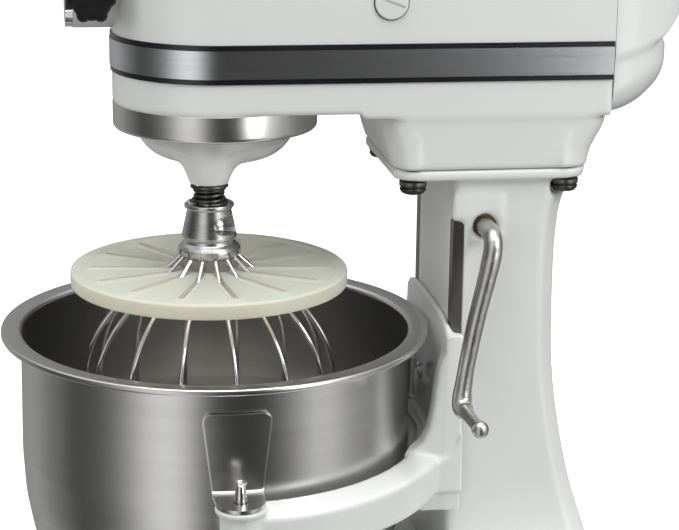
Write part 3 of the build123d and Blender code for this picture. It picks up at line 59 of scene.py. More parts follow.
NODES = frame["nodes"]
BODY_OF = {node: body for body, members in frame["record"]["behaviour"]["bodies"].items() for node in members}
SLOT_OF = {entry["node"]: entry["material_slot"] for entry in frame["record"]["subparts"]}


def middle(node):
    low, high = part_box(node)
    return (low + high) / 2


def circle(radius, steps, x=0.0, y=0.0):
    """Points round a circle."""
    return [(x + radius * cos(2 * pi * step / steps), y + radius * sin(2 * pi * step / steps))
            for step in range(steps)]


AXIS = middle("drip_ring")            # bowl and planetary axis
BEATER = middle("beater_shaft")       # the whisk's own axis


# ---------------------------------------------------------------- materials
def finish(name, colour, rough=0.4, metallic=0.0, grain=60.0, stretch=(1, 1, 1), vary=0.04, rough_vary=0.06,
           bump=0.02, fine=900.0, edge_lightening=0.0, **shader_values):
    """Procedural material: broad colour variation, fine roughness grain and a little bump."""
    material = bpy.data.materials.new(name)
    material.use_nodes = True
    nodes, links = material.node_tree.nodes, material.node_tree.links
    shader = nodes["Principled BSDF"]
    shader.inputs["Metallic"].default_value = metallic
    for key, value in shader_values.items():
        shader.inputs[key.replace("_", " ")].default_value = value
    coordinates = nodes.new("ShaderNodeTexCoord")
    mapping = nodes.new("ShaderNodeMapping")
    mapping.inputs["Scale"].default_value = stretch
    links.new(coordinates.outputs["Object"], mapping.inputs["Vector"])
    broad, grit = nodes.new("ShaderNodeTexNoise"), nodes.new("ShaderNodeTexNoise")
    broad.inputs["Scale"].default_value, broad.inputs["Detail"].default_value = grain, 3
    grit.inputs["Scale"].default_value, grit.inputs["Detail"].default_value = fine, 4
    for texture in (broad, grit):
        links.new(mapping.outputs["Vector"], texture.inputs["Vector"])
    ramp = nodes.new("ShaderNodeValToRGB")
    ramp.color_ramp.elements[0].position, ramp.color_ramp.elements[1].position = 0.3, 0.7
    ramp.color_ramp.elements[0].color = [max(c * (1 - vary), 0) for c in colour] + [1]
    ramp.color_ramp.elements[1].color = [min(c * (1 + vary), 1) for c in colour] + [1]
    links.new(broad.outputs["Fac"], ramp.inputs["Fac"])
    base = ramp.outputs["Color"]
    # Convex edges, found by Pointiness, are made lighter by the given share.
    if edge_lightening:
        geometry = nodes.new("ShaderNodeNewGeometry")
        edge = nodes.new("ShaderNodeValToRGB")
        edge.color_ramp.elements[0].position, edge.color_ramp.elements[1].position = 0.52, 0.60
        mix = nodes.new("ShaderNodeMix")
        mix.data_type = "RGBA"
        links.new(geometry.outputs["Pointiness"], edge.inputs["Fac"])
        links.new(edge.outputs["Color"], mix.inputs["Factor"])
        links.new(base, mix.inputs["A"])
        mix.inputs["B"].default_value = [min(c * (1 + edge_lightening), 1) for c in colour] + [1]
        base = mix.outputs["Result"]
    links.new(base, shader.inputs["Base Color"])
    spread = nodes.new("ShaderNodeMapRange")
    spread.inputs["To Min"].default_value = max(rough - rough_vary, 0.02)
    spread.inputs["To Max"].default_value = rough + rough_vary
    links.new(grit.outputs["Fac"], spread.inputs["Value"])
    links.new(spread.outputs["Result"], shader.inputs["Roughness"])
    relief = nodes.new("ShaderNodeBump")
    relief.inputs["Strength"].default_value = bump
    relief.inputs["Distance"].default_value = 0.0004
    links.new(grit.outputs["Fac"], relief.inputs["Height"])
    links.new(relief.outputs["Normal"], shader.inputs["Normal"])
    return material


ROUND_BRUSH = (1, 1, 60)      # streaks around a vertical axis
LONG_BRUSH = (1, 0.03, 12)    # streaks along the head
MATERIALS = {
    "enamel": finish("enamel", (0.70, 0.715, 0.70), 0.30, grain=14, fine=260, vary=0.012, rough_vary=0.03,
                     bump=0.05, Coat_Weight=0.25, Coat_Roughness=0.18, IOR=1.45),
    "stainless": finish("stainless", (0.62, 0.615, 0.60), 0.24, 1.0, grain=3, fine=20, stretch=ROUND_BRUSH,
                        vary=0.03, rough_vary=0.03, bump=0.008, Anisotropic=0.5),
    "trim_aluminium": finish("trim_aluminium", (0.66, 0.67, 0.68), 0.22, 1.0, grain=30, fine=240,
                             stretch=LONG_BRUSH, vary=0.04, rough_vary=0.04, bump=0.03, Anisotropic=0.4),
    "black_line": finish("black_line", (0.012, 0.012, 0.016), 0.25, grain=30, vary=0.3, bump=0.03),
    "dark_steel": finish("dark_steel", (0.075, 0.073, 0.07), 0.38, 1.0, vary=0.35, bump=0.12, fine=500, edge_lightening=1.6),
    "lever_steel": finish("lever_steel", (0.50, 0.495, 0.475), 0.33, 1.0, grain=60, vary=0.16, rough_vary=0.12,
                          bump=0.22, fine=380, edge_lightening=0.3),
    "bright_steel": finish("bright_steel", (0.68, 0.68, 0.67), 0.14, 1.0, vary=0.05, bump=0.02),
    "whisk_hub_steel": finish("whisk_hub_steel", (0.50, 0.50, 0.49), 0.27, 1.0, grain=8, fine=40,
                              stretch=(1, 1, 30), vary=0.10, rough_vary=0.08, bump=0.06, edge_lightening=0.35),
    "gear_steel": finish("gear_steel", (0.36, 0.36, 0.37), 0.32, 1.0, vary=0.15, bump=0.06),
    "bronze": finish("bronze", (0.16, 0.115, 0.07), 0.45, 1.0, vary=0.25, bump=0.08),
    "rubber": finish("rubber", (0.018, 0.018, 0.018), 0.75, vary=0.3, bump=0.25),
    "clear_plastic": finish("clear_plastic", (0.97, 0.93, 0.80), 0.32, grain=22, vary=0.03, rough_vary=0.08,
                            bump=0.05, fine=120, Transmission_Weight=0.55, Subsurface_Weight=0.3, IOR=1.40),
    "laminated_iron": finish("laminated_iron", (0.22, 0.22, 0.23), 0.45, 0.9, stretch=(1, 40, 1), vary=0.3),
    "copper": finish("copper", (0.55, 0.23, 0.11), 0.33, 1.0, stretch=(1, 1, 20), vary=0.2, bump=0.2),
    "carbon": finish("carbon", (0.02, 0.02, 0.02), 0.6, vary=0.3),
    "brass_holder": finish("brass_holder", (0.62, 0.46, 0.2), 0.3, 1.0, vary=0.1),
    "cap_plastic": finish("cap_plastic", (0.68, 0.69, 0.675), 0.30, grain=120, vary=0.02, bump=0.06),
    "black_plastic": finish("black_plastic", (0.012, 0.012, 0.013), 0.3, grain=200, vary=0.3, bump=0.08),
    "plate_aluminium": finish("plate_aluminium", (0.62, 0.63, 0.64), 0.3, 1.0, stretch=LONG_BRUSH, vary=0.05),
    "chrome": finish("chrome", (0.80, 0.80, 0.81), 0.08, 1.0, vary=0.03, bump=0.01),
}


def paint(piece, slot):
    piece.data.materials.clear()
    piece.data.materials.append(MATERIALS[slot])


for node, slot in SLOT_OF.items():
    paint(NODES[node], slot)

# ---------------------------------------------------------------- mesh helpers
def show_piece(name, mesh, body, slot, replaced=(), sharp=35):
    """Links a finished mesh as a piece of the object: smooth, with its corners kept sharp."""
    work = bmesh.new()
    work.from_mesh(mesh)
    bmesh.ops.remove_doubles(work, verts=work.verts, dist=0.002 * MM)
    bmesh.ops.recalc_face_normals(work, faces=work.faces)
    for face in work.faces:
        face.smooth = True
    for edge in work.edges:
        edge.smooth = len(edge.link_faces) == 2 and edge.calc_face_angle(0) < radians(sharp)
    work.to_mesh(mesh)
    work.free()
    piece = bpy.data.objects.new(name, mesh)
    bpy.context.scene.collection.objects.link(piece)
    paint(piece, slot)
    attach(piece, body)
    if replaced:
        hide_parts(*replaced)
    return piece


def mesh_from(name, points, faces):
    mesh = bpy.data.meshes.new(name)
    mesh.from_pydata([tuple(point) for point in points], [], faces)
    mesh.update()
    return mesh


def loft(name, rings, closed_ends=True, looped=False):
    """Mesh of quads between rings of equally many points; looped joins the last ring to the first."""
    count = len(rings[0])
    points = [point for ring in rings for point in ring]
    last = len(rings) if looped else len(rings) - 1
    faces = [(count * row + step, count * row + (step + 1) % count,
              count * ((row + 1) % len(rings)) + (step + 1) % count, count * ((row + 1) % len(rings)) + step)
             for row in range(last) for step in range(count)]
    if closed_ends and not looped:
        faces += [tuple(range(count)), tuple(count * (len(rings) - 1) + step for step in range(count))]
    return mesh_from(name, points, faces)


def lathe(name, profile, axis, steps=144):
    """Solid of revolution about a vertical axis, from a closed outline of (radius, height)."""
    rings = [[Vector((axis.x + radius * cos(2 * pi * step / steps), axis.y + radius * sin(2 * pi * step / steps),
                      height)) for radius, height in profile] for step in range(steps)]
    return loft(name, rings, looped=True)


def rounded(corners, radius, steps=6, closed=True):
    """Outline through 2-D corners, each rounded; radius is one number or one for each corner."""
    radii = radius if hasattr(radius, "__len__") else [radius] * len(corners)
    outline = []
    for number, corner in enumerate(corners):
        here = Vector(corner)
        if radii[number] == 0 or (not closed and number in (0, len(corners) - 1)):
            outline.append(tuple(here))
            continue
        back = Vector(corners[number - 1]) - here
        ahead = Vector(corners[(number + 1) % len(corners)]) - here
        half = back.angle(ahead) / 2
        cut = min(radii[number] / max(sin(half), 1e-6) * cos(half), 0.49 * back.length, 0.49 * ahead.length)
        start, stop = here + back.normalized() * cut, here + ahead.normalized() * cut
        for step in range(steps + 1):
            share = step / steps
            outline.append(tuple(start * (1 - share) ** 2 + here * (2 * share * (1 - share)) + stop * share ** 2))
    return outline


def tube(name, route, radii, sides=24, closed_ends=True):
    """Round bar along a route of points; the radius follows radii, one for each point."""
    rings, across = [], None
    for number, point in enumerate(route):
        ahead = (route[min(number + 1, len(route) - 1)] - route[max(number - 1, 0)]).normalized()
        if across is None:
            across = ahead.orthogonal().normalized()
        across = (across - ahead * across.dot(ahead)).normalized()
        other = ahead.cross(across)
        rings.append([point + radii[number] * (across * cos(2 * pi * side / sides)
                                               + other * sin(2 * pi * side / sides)) for side in range(sides)])
    return loft(name, rings, closed_ends)


def smooth_route(points, parts=10):
    """Catmull-Rom curve through points."""
    ends = [2 * points[0] - points[1]] + list(points) + [2 * points[-1] - points[-2]]
    route = []
    for before, start, stop, after in zip(ends, ends[1:], ends[2:], ends[3:]):
        for step in range(parts):
            t = step / parts
            route.append(0.5 * (2 * start + (stop - before) * t + (2 * before - 5 * start + 4 * stop - after) * t * t
                                + (3 * start - before - 3 * stop + after) * t ** 3))
    return route + [points[-1]]


def star_mesh(name, centre, depth, cells=64, reach=0.13):
    """Closed quad mesh round a centre: each vertex lies where its ray leaves the shape depth(x, y, z) < 0."""
    grid = np.tan((np.arange(cells + 1) / cells - 0.5) * pi / 2)
    u, v = (side.ravel() for side in np.meshgrid(grid, grid, indexing="ij"))
    one = np.ones_like(u)
    sides = [(one, u, v), (-one, -u, v), (-u, one, v), (u, -one, v), (-v, u, one), (v, u, -one)]
    ways = np.concatenate([np.stack(side, 1) for side in sides])
    ways /= np.linalg.norm(ways, axis=1)[:, None]
    near, far = np.zeros(len(ways)), np.full(len(ways), reach)
    for _ in range(34):
        half = (near + far) / 2
        inside = depth(*(np.array(centre)[:, None] + (ways * half[:, None]).T)) < 0
        near, far = np.where(inside, half, near), np.where(inside, far, half)
    points = np.array(centre) + ways * near[:, None]
    row = cells + 1
    faces = [(base + r * row + c, base + (r + 1) * row + c, base + (r + 1) * row + c + 1, base + r * row + c + 1)
             for base in range(0, 6 * row * row, row * row) for r in range(cells) for c in range(cells)]
    mesh = mesh_from(name, points, faces)
    work = bmesh.new()
    work.from_mesh(mesh)
    bmesh.ops.remove_doubles(work, verts=work.verts, dist=0.001 * MM)
    bmesh.ops.recalc_face_normals(work, faces=work.faces)
    work.to_mesh(mesh)
    work.free()
    return mesh


def cut_at(mesh, place, normal, fill=True, lip=0.0):
    """Cuts the part of a mesh beyond a plane away; lip bevels the new edge."""
    work = bmesh.new()
    work.from_mesh(mesh)
    cut = bmesh.ops.bisect_plane(work, geom=work.verts[:] + work.edges[:] + work.faces[:], plane_co=place,
                                 plane_no=normal, clear_outer=True, dist=1e-7)
    edges = [item for item in cut["geom_cut"] if isinstance(item, bmesh.types.BMEdge)]
    if fill:
        bmesh.ops.contextual_create(work, geom=edges)
    if lip:
        edges = [edge for edge in edges if edge.is_valid]
        bmesh.ops.bevel(work, geom=edges, offset=lip, segments=3, affect="EDGES", profile=0.5, clamp_overlap=True)
    work.to_mesh(mesh)
    work.free()


def modified(mesh, kind, **settings):
    """The mesh after one Blender modifier."""
    holder = bpy.data.objects.new("holder", mesh)
    bpy.context.scene.collection.objects.link(holder)
    modifier = holder.modifiers.new(kind, kind)
    for key, value in settings.items():
        setattr(modifier, key, value)
    bpy.context.view_layer.update()
    result = bpy.data.meshes.new_from_object(holder.evaluated_get(bpy.context.evaluated_depsgraph_get()))
    result.name = mesh.name
    bpy.data.objects.remove(holder)
    return result


def carved(mesh, cutter_meshes):
    """The mesh with closed cutters taken away."""
    joined = bmesh.new()
    for cutter in cutter_meshes:
        joined.from_mesh(cutter)
    bmesh.ops.recalc_face_normals(joined, faces=joined.faces)
    tool_mesh = bpy.data.meshes.new("cutter")
    joined.to_mesh(tool_mesh)
    joined.free()
    tool = bpy.data.objects.new("cutter", tool_mesh)
    bpy.context.scene.collection.objects.link(tool)
    result = modified(mesh, "BOOLEAN", operation="DIFFERENCE", solver="EXACT", use_self=True, object=tool)
    bpy.data.objects.remove(tool)
    return result


def prism(outline, place, low, high):
    """Closed block: a 2-D outline, put in place by place(u, v, depth), between two depths."""
    rings = [[Vector(place(u, v, depth)) for u, v in outline] for depth in (low, high)]
    return loft("prism", rings)


def soft_least(a, b, width):
    """Smooth minimum: joins two depths with a fillet about as wide as width."""
    mix = np.clip(0.5 + 0.5 * (b - a) / width, 0, 1)
    return b * (1 - mix) + a * mix - width * mix * (1 - mix)


def section_depth(x, z, half, low, high, low_radius, high_radius):
    """Signed distance in x and z to an upright rectangle with its own lower and upper corner radii."""
    middle_z = (low + high) / 2
    radius = np.where(z > middle_z, high_radius, low_radius)
    out_x = np.abs(x) - half + radius
    out_z = np.abs(z - middle_z) - (high - low) / 2 + radius
    return np.hypot(np.maximum(out_x, 0), np.maximum(out_z, 0)) + np.minimum(np.maximum(out_x, out_z), 0) - radius


# ---------------------------------------------------------------- end cover
COVER_LOW, COVER_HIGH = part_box("end_cover")
SEAM_Y = COVER_LOW.y
HEAD_HALF = 53.6 * MM
HEAD_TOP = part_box("motor_housing")[1].z
CREASE_Z, CREASE_RISE = 317.5 * MM, 0.28      # height of the crease at the seam, and its slope
LOWER_RAISED, LOWER_LENGTH = 2.6 * MM, 34 * MM
COVER_WALL = 3.2 * MM


def dome_fall(y, start, length, rise):
    """How far a section has drawn in at y, on an ellipse that starts square to the seam."""
    along = np.clip((y - start) / length, 0, None)
    return rise * (1 - np.sqrt(np.clip(1 - along ** 2, 0, None))) + 1000 * np.maximum(along - 1, 0)


def cover_depth(x, y, z):
    back = y - SEAM_Y
    crease = CREASE_Z + CREASE_RISE * back
    upper = section_depth(x, z, HEAD_HALF, crease - 2 * MM, HEAD_TOP, 9 * MM, 34 * MM)
    upper = upper + dome_fall(y, SEAM_Y, COVER_HIGH.y - SEAM_Y, 40 * MM)
    corner = (13 + 14 * np.clip(back / (24 * MM), 0, 1)) * MM
    lower = section_depth(x, z, HEAD_HALF - 0.2 * MM, COVER_LOW.z + LOWER_RAISED, 345 * MM, corner,
                          20 * MM)
    lower = lower + dome_fall(y, SEAM_Y, LOWER_LENGTH, 27 * MM)
    return soft_least(upper, lower, 2.6 * MM)


cover = star_mesh("end_cover_casting", (0, SEAM_Y + 6 * MM, 345 * MM), cover_depth, cells=96)
cut_at(cover, (0, SEAM_Y + 0.25 * MM, 0), (0, -1, 0), fill=False)
cover = modified(cover, "SOLIDIFY", thickness=COVER_WALL, offset=-1)
cover = modified(cover, "BEVEL", width=0.8 * MM, segments=3, limit_method="ANGLE", angle_limit=radians(60))
show_piece("end_cover_casting", cover, BODY_OF["end_cover"], "enamel", ["end_cover"])

# ---------------------------------------------------------------- planetary housing
DISH_TOP = 286.5 * MM
DISH_R = 39.4 * MM
BOSS_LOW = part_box("planetary_housing")[0].z


def planetary_depth(x, y, z):
    out = np.hypot(x - AXIS.x, y - AXIS.y)
    belly = np.clip(out / DISH_R, 0, 1)
    dish_bottom = 261.8 * MM + 4.6 * MM * belly ** 2 + 7.4 * MM * belly ** 7
    dish = np.maximum((dish_bottom - z) * 0.8, out - DISH_R)
    dish = np.maximum(dish, z - DISH_TOP - 20 * MM)
    side = np.hypot(x - BEATER.x, y - BEATER.y)
    rise = np.clip((z - BOSS_LOW) / (16 * MM), 0, 1)
    boss_r = 10.0 * MM + 3.4 * MM * (1 - (1 - rise) ** 2.0)
    boss = np.maximum(side - boss_r, BOSS_LOW - z)
    return soft_least(dish, boss, 6.5 * MM)


to_beater = (BEATER - AXIS) * 0.72
dish = star_mesh("planetary_casting", (AXIS.x + to_beater.x, AXIS.y + to_beater.y, 273 * MM), planetary_depth,
                 cells=80, reach=0.09)
cut_at(dish, (0, 0, DISH_TOP), (0, 0, 1))
cut_at(dish, (0, 0, BOSS_LOW), (0, 0, -1), lip=0.7 * MM)
bore = prism(circle(8.5 * MM, 64), lambda u, v, depth: (BEATER.x + u, BEATER.y + v, depth), 250 * MM, 300 * MM)
dish = carved(dish, [bore])
show_piece("planetary_casting", dish, BODY_OF["planetary_housing"], "enamel", ["planetary_housing"])

# ---------------------------------------------------------------- beater spring
SPRING_LOW, SPRING_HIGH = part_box("beater_spring")
SPRING_WIRE = 1.05 * MM
SPRING_TURNS = 4.2


def spring_point(share):
    """Point on the coil: wide closed end turns and a narrow waist."""
    ease = share - 0.055 * sin(2 * pi * share)
    height = SPRING_LOW.z + SPRING_WIRE + (SPRING_HIGH.z - SPRING_LOW.z - 2 * SPRING_WIRE) * ease
    waist = sin(pi * min(max((share - 0.10) / 0.84, 0), 1)) ** 0.8
    radius = (9.3 - 0.3 * (1 - share) - 2.1 * waist) * MM
    turn = 2 * pi * SPRING_TURNS * share
    return Vector((BEATER.x + radius * cos(turn), BEATER.y + radius * sin(turn), height))


coil_steps = int(SPRING_TURNS * 48)
coil = [spring_point(step / coil_steps) for step in range(coil_steps + 1)]
spring = show_piece("beater_spring_coil", tube("beater_spring_coil", coil, [SPRING_WIRE] * len(coil), 14),
                    BODY_OF["beater_spring"], "dark_steel", ["beater_spring"])
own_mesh(spring)

# ---------------------------------------------------------------- whisk hub
HUB_LOW, HUB_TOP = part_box("whisk_hub")[0].z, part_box("whisk_hub")[1].z
PIN = middle("cross_pin")
PIN_ANGLE = radians(20)
PRESS = 4.0 * MM
WIRES = 14
WIRE_PHASE = radians(6.9)


def hub_outline():
    """Turned outline of the hub: rim with a bead, cone, groove, and the flange that holds the wires."""
    corners = [(6.3, 0), (13.4, 0), (15.5, 1.5), (16.3, 2.3), (16.3, 5.0), (14.9, 6.9), (13.3, 8.2), (13.1, 9.9),
               (14.25, 10.7), (14.25, 12.2), (11.45, 25.2), (11.45, 26.0), (12.9, 26.4), (12.9, 28.8), (11.0, 28.8),
               (10.6, 27.6), (6.3, 27.6)]
    radii = [0.3, 0.5, 0.5, 0.7, 1.2, 1.0, 1.4, 0.6, 0.7, 1.2, 1.4, 0.4, 1.2, 1.2, 0.5, 0.2, 0.3]
    return [(r * MM, HUB_LOW + h * MM) for r, h in rounded(corners, radii, 5)]


def wrapped(u, v, depth):
    """A point of the slot's flat pattern, laid round the hub."""
    return (BEATER.x + depth * cos(u / (13 * MM)), BEATER.y + depth * sin(u / (13 * MM)), v)


def slot_cutter(turn):
    """Round-ended slot that the cross pin rests in, and the way it came in from the top."""
    start = (PIN_ANGLE + turn) * 13 * MM
    low, high = PIN.z - 2.5 * MM - PRESS, PIN.z + 2.7 * MM
    radius = (high - low) / 2
    outline = [(start + radius * 0.35 - radius * cos(pi / 2 - pi * step / 16),
                (low + high) / 2 - radius * sin(pi / 2 - pi * step / 16)) for step in range(17)]
    stop = start + radians(64) * 13 * MM
    way = start + radians(43) * 13 * MM
    outline += [(way - 1.5 * MM, high), (way, high + 1.5 * MM), (way, HUB_TOP + 3 * MM), (stop, HUB_TOP + 3 * MM),
                (stop, low + 2 * MM), (stop - 2 * MM, low)]
    dense = []
    for number, point in enumerate(outline):
        after = outline[(number + 1) % len(outline)]
        parts = max(1, int(abs(after[0] - point[0]) / (0.8 * MM)))
        dense += [(point[0] + (after[0] - point[0]) * step / parts, point[1] + (after[1] - point[1]) * step / parts)
                  for step in range(parts)]
    return prism(dense, wrapped, 7.2 * MM, 18 * MM)


def dimple_cutter(number):
    """Pressed mark beside each wire on the flange's edge."""
    turn = WIRE_PHASE + 2 * pi * number / WIRES
    box = rounded([(-1.1, 2.6), (1.1, 2.6), (0.9, 5.4), (-0.9, 5.4)], 0.45, 4)
    return prism([(u * MM, HUB_LOW + v * MM) for u, v in box],
                 lambda u, v, depth: (BEATER.x + depth * cos(turn) - u * sin(turn),
                                      BEATER.y + depth * sin(turn) + u * cos(turn), v), 15.3 * MM, 19 * MM)


hub = lathe("whisk_hub_turned", hub_outline(), BEATER, 168)
hub = carved(hub, [slot_cutter(0), slot_cutter(pi)])
hub = carved(hub, [dimple_cutter(number) for number in range(WIRES)])
show_piece("whisk_hub_turned", hub, BODY_OF["whisk_hub"], "whisk_hub_steel", ["whisk_hub"], sharp=28)

# ---------------------------------------------------------------- whisk disc
DISC_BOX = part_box("whisk_disc")
DISC_LOW, DISC_TOP = DISC_BOX[0].z, DISC_BOX[1].z
DISC_R = (DISC_BOX[1].x - DISC_BOX[0].x) / 2
SLOT_IN, SLOT_OUT, SLOT_HALF = 17 * MM, 60 * MM, 1.55 * MM


def stadium(half, start, stop, arc=10):
    """Outline of a round-ended slot along u."""
    ends = [(stop + half * cos(-pi / 2 + pi * step / arc), half * sin(-pi / 2 + pi * step / arc))
            for step in range(arc + 1)]
    return ends + [(start + half * cos(pi / 2 + pi * step / arc), half * sin(pi / 2 + pi * step / arc))
                   for step in range(arc + 1)]


def disc_top_height(radius, turn):
    """Top of the disc: stepped rim, faint dome in the middle and a raised lip along each slot."""
    step = 2 * pi / WIRES
    nearest = (turn - WIRE_PHASE + step / 2) % step - step / 2
    across, along = abs(radius * sin(nearest)), radius * cos(nearest)
    beyond = max(SLOT_IN - along, along - SLOT_OUT, 0)
    gap = sqrt(across ** 2 + beyond ** 2) - SLOT_HALF
    lip = 0.9 * MM * min(max((2.0 * MM - gap) / (0.7 * MM), 0), 1)
    field = -1.0 * MM * min(max((DISC_R - 5.5 * MM - radius) / (0.8 * MM), 0), 1)
    dome = 2.2 * MM * max(1 - (radius / (27 * MM)) ** 2, 0)
    return DISC_TOP + field + max(lip if radius < DISC_R - 5 * MM else 0, dome * 0.9)


def disc_mesh(steps=560):
    edge = rounded([(DISC_R - 5.4 * MM, DISC_TOP), (DISC_R, DISC_TOP), (DISC_R, DISC_LOW), (16 * MM, DISC_LOW)],
                   [0, 1.6 * MM, 1.2 * MM, 0], 5, closed=False)
    inner = [15 * MM + (DISC_R - 5.5 * MM - 15 * MM) * number / 44 for number in range(45)]
    rings = []
    for step in range(steps):
        turn = 2 * pi * step / steps
        line = [(radius, disc_top_height(radius, turn)) for radius in inner] + edge + [(15 * MM, DISC_LOW)]
        rings.append([Vector((BEATER.x + radius * cos(turn), BEATER.y + radius * sin(turn), height))
                      for radius, height in line])
    return loft("whisk_disc_moulding", rings, looped=True)


slots = []
for number in range(WIRES):
    turn = WIRE_PHASE + 2 * pi * number / WIRES
    slots.append(prism(stadium(SLOT_HALF, SLOT_IN, SLOT_OUT),
                       lambda u, v, depth, turn=turn: (BEATER.x + u * cos(turn) - v * sin(turn),
                                                       BEATER.y + u * sin(turn) + v * cos(turn), depth),
                       DISC_LOW - 3 * MM, DISC_TOP + 5 * MM))
disc = carved(disc_mesh(), slots)
show_piece("whisk_disc_moulding", disc, BODY_OF["whisk_disc"], "clear_plastic", ["whisk_disc"], sharp=50)

# ---------------------------------------------------------------- bowl
BOWL_WALL = 1.2 * MM
# Outer wall from the middle of the floor to the neck under the rim, as (radius, height) in mm.
BOWL_ROUTE = [(0, 12), (52, 12), (76, 21), (92, 38), (99.7, 58), (104, 82), (105.2, 105), (104.6, 157), (104.6, 165)]


def bowl_outline():
    """Closed half section: wall, rolled rim, and the inside one sheet thickness in."""
    wall = rounded(BOWL_ROUTE, 90, 8, closed=False)
    wall = [Vector((radius * MM, height * MM)) for radius, height in wall]
    inside = []
    for number, point in enumerate(wall):
        ahead = wall[min(number + 1, len(wall) - 1)] - wall[max(number - 1, 0)]
        square = Vector((-ahead.y, ahead.x)).normalized()
        inside.append(point + square * BOWL_WALL)
    rim = [(104.6, 168.5), (115.0, 168.5), (115.0, 172.0), (103.4, 171.5)]
    rim = rounded([(104.6, 165.5)] + rim + [(103.4, 165.5)], [0, 1.6, 1.6, 1.9, 4.2, 0], 8, closed=False)
    rim = [(r * MM, z * MM) for r, z in rim]
    return [tuple(point) for point in wall] + rim + [tuple(point) for point in reversed(inside)]


bowl_mesh = lathe("bowl_spun", [(max(r, 0.01 * MM), z) for r, z in bowl_outline()], AXIS, 288)
show_piece("bowl_spun", bowl_mesh, BODY_OF["bowl"], "stainless", ["bowl"], sharp=50)

# ---------------------------------------------------------------- bowl ears
EAR_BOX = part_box("bowl_ears")
EAR_R, EAR_TOP, TAB_TOP = 107.3 * MM, EAR_BOX[1].z, EAR_BOX[0].z + 2.0 * MM
EAR_TOP_HALF, EAR_LOW_HALF, EAR_CORNER = 18.0 * MM, 13.0 * MM, 4.6 * MM
PIN_X, TAB_R, BEND_R = 120.0 * MM, 12.35 * MM, 1.7 * MM


def ear_rows():
    """Rows down the ear's outer face and out along its tab: (height, distance out of the plate, half width)."""
    rows = []
    bend = TAB_TOP + BEND_R
    drops = [EAR_CORNER * (1 - cos(pi / 2 * step / 8)) for step in range(9)]
    drops += [EAR_CORNER + (EAR_TOP - bend - EAR_CORNER) * step / 16 for step in range(1, 17)]
    for drop in drops:
        half = EAR_TOP_HALF + (EAR_LOW_HALF - EAR_TOP_HALF) * drop / (EAR_TOP - TAB_TOP)
        if drop < EAR_CORNER:
            half += sqrt(max(EAR_CORNER ** 2 - (EAR_CORNER - drop) ** 2, 0)) - EAR_CORNER
        rows.append((EAR_TOP - drop, 0.0, half))
    rows += [(bend - BEND_R * sin(pi / 2 * step / 6), BEND_R * (1 - cos(pi / 2 * step / 6)), EAR_LOW_HALF)
             for step in range(1, 7)]
    out = PIN_X - EAR_R
    rows += [(TAB_TOP, BEND_R + (out - BEND_R) * step / 5, EAR_LOW_HALF + (TAB_R - EAR_LOW_HALF) * step / 5)
             for step in range(1, 6)]
    rows += [(TAB_TOP, out + TAB_R * sin(pi / 2 * step / 12), max(TAB_R * cos(pi / 2 * step / 12), 0.9 * MM))
             for step in range(1, 13)]
    return rows


def ear_mesh(side, columns=26):
    points, faces = [], []
    for height, out, half in ear_rows():
        flat = min(out / (PIN_X - EAR_R), 1)
        for column in range(columns + 1):
            across = half * (2 * column / columns - 1)
            curved = EAR_R * cos(across / EAR_R) * (1 - flat) + EAR_R * flat
            points.append(Vector((AXIS.x + side * (curved + out), AXIS.y + EAR_R * sin(across / EAR_R), height)))
    rows = len(points) // (columns + 1)
    for row in range(rows - 1):
        for column in range(columns):
            first = row * (columns + 1) + column
            faces.append((first, first + columns + 1, first + columns + 2, first + 1)[::int(side)])
    mesh = modified(mesh_from("ear", points, faces), "SOLIDIFY", thickness=1.9 * MM, offset=-1)
    mesh = modified(mesh, "BEVEL", width=0.55 * MM, segments=3, limit_method="ANGLE", angle_limit=radians(60))
    hole = prism(circle(3.7 * MM, 48), lambda u, v, depth: (AXIS.x + side * PIN_X + u, AXIS.y + v, depth),
                 TAB_TOP - 5 * MM, TAB_TOP + 3 * MM)
    return carved(mesh, [hole])


def joined(name, meshes):
    """One mesh of several."""
    work = bmesh.new()
    for mesh in meshes:
        work.from_mesh(mesh)
    result = bpy.data.meshes.new(name)
    work.to_mesh(result)
    work.free()
    return result


show_piece("bowl_ears_pressed", joined("bowl_ears_pressed", [ear_mesh(-1), ear_mesh(1)]), BODY_OF["bowl_ears"],
           "stainless", ["bowl_ears"], sharp=40)

# ---------------------------------------------------------------- locating pins
PIN_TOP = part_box("locating_pins")[1].z
# Turned pin with a cupped head, as (radius, distance below its top) in mm.
PIN_PROFILE = [(0.01, 34.4), (3.2, 34.4), (3.2, 9.6), (2.75, 5.2), (2.35, 2.7), (2.5, 1.8), (3.1, 0.6), (3.0, 0.0),
               (2.2, 0.0), (1.5, 1.3), (0.01, 1.5)]
pins = [lathe("pin", [(radius * MM, PIN_TOP - drop * MM) for radius, drop in
                      rounded(PIN_PROFILE, 0.6, 4, closed=False)], Vector((side * PIN_X, AXIS.y, 0)), 64)
        for side in (-1, 1)]
show_piece("locating_pins_turned", joined("locating_pins_turned", pins), BODY_OF["locating_pins"], "bright_steel",
           ["locating_pins"], sharp=50)

# ---------------------------------------------------------------- bowl support
ARM_IN, ARM_OUT, ARM_LOW, ARM_HIGH = 110.6 * MM, 125.8 * MM, 87.2 * MM, 112 * MM
YOKE_FRONT, YOKE_BACK, YOKE_LOW = AXIS.y + 115.7 * MM, AXIS.y + 118.7 * MM, 78 * MM
CHEEK_OUT, CHEEK_BACK = 55 * MM, AXIS.y + 125.5 * MM
# Top edge of the ramp that joins arm and yoke, as (distance behind the bowl axis, height) in mm.
RAMP_TOP = [(70, 110.8), (84, 111.2), (94, 111.8), (100, 113.4), (104.5, 117), (107.6, 124), (109.6, 134), (110.9, 146),
            (112.6, 158), (116.2, 168)]


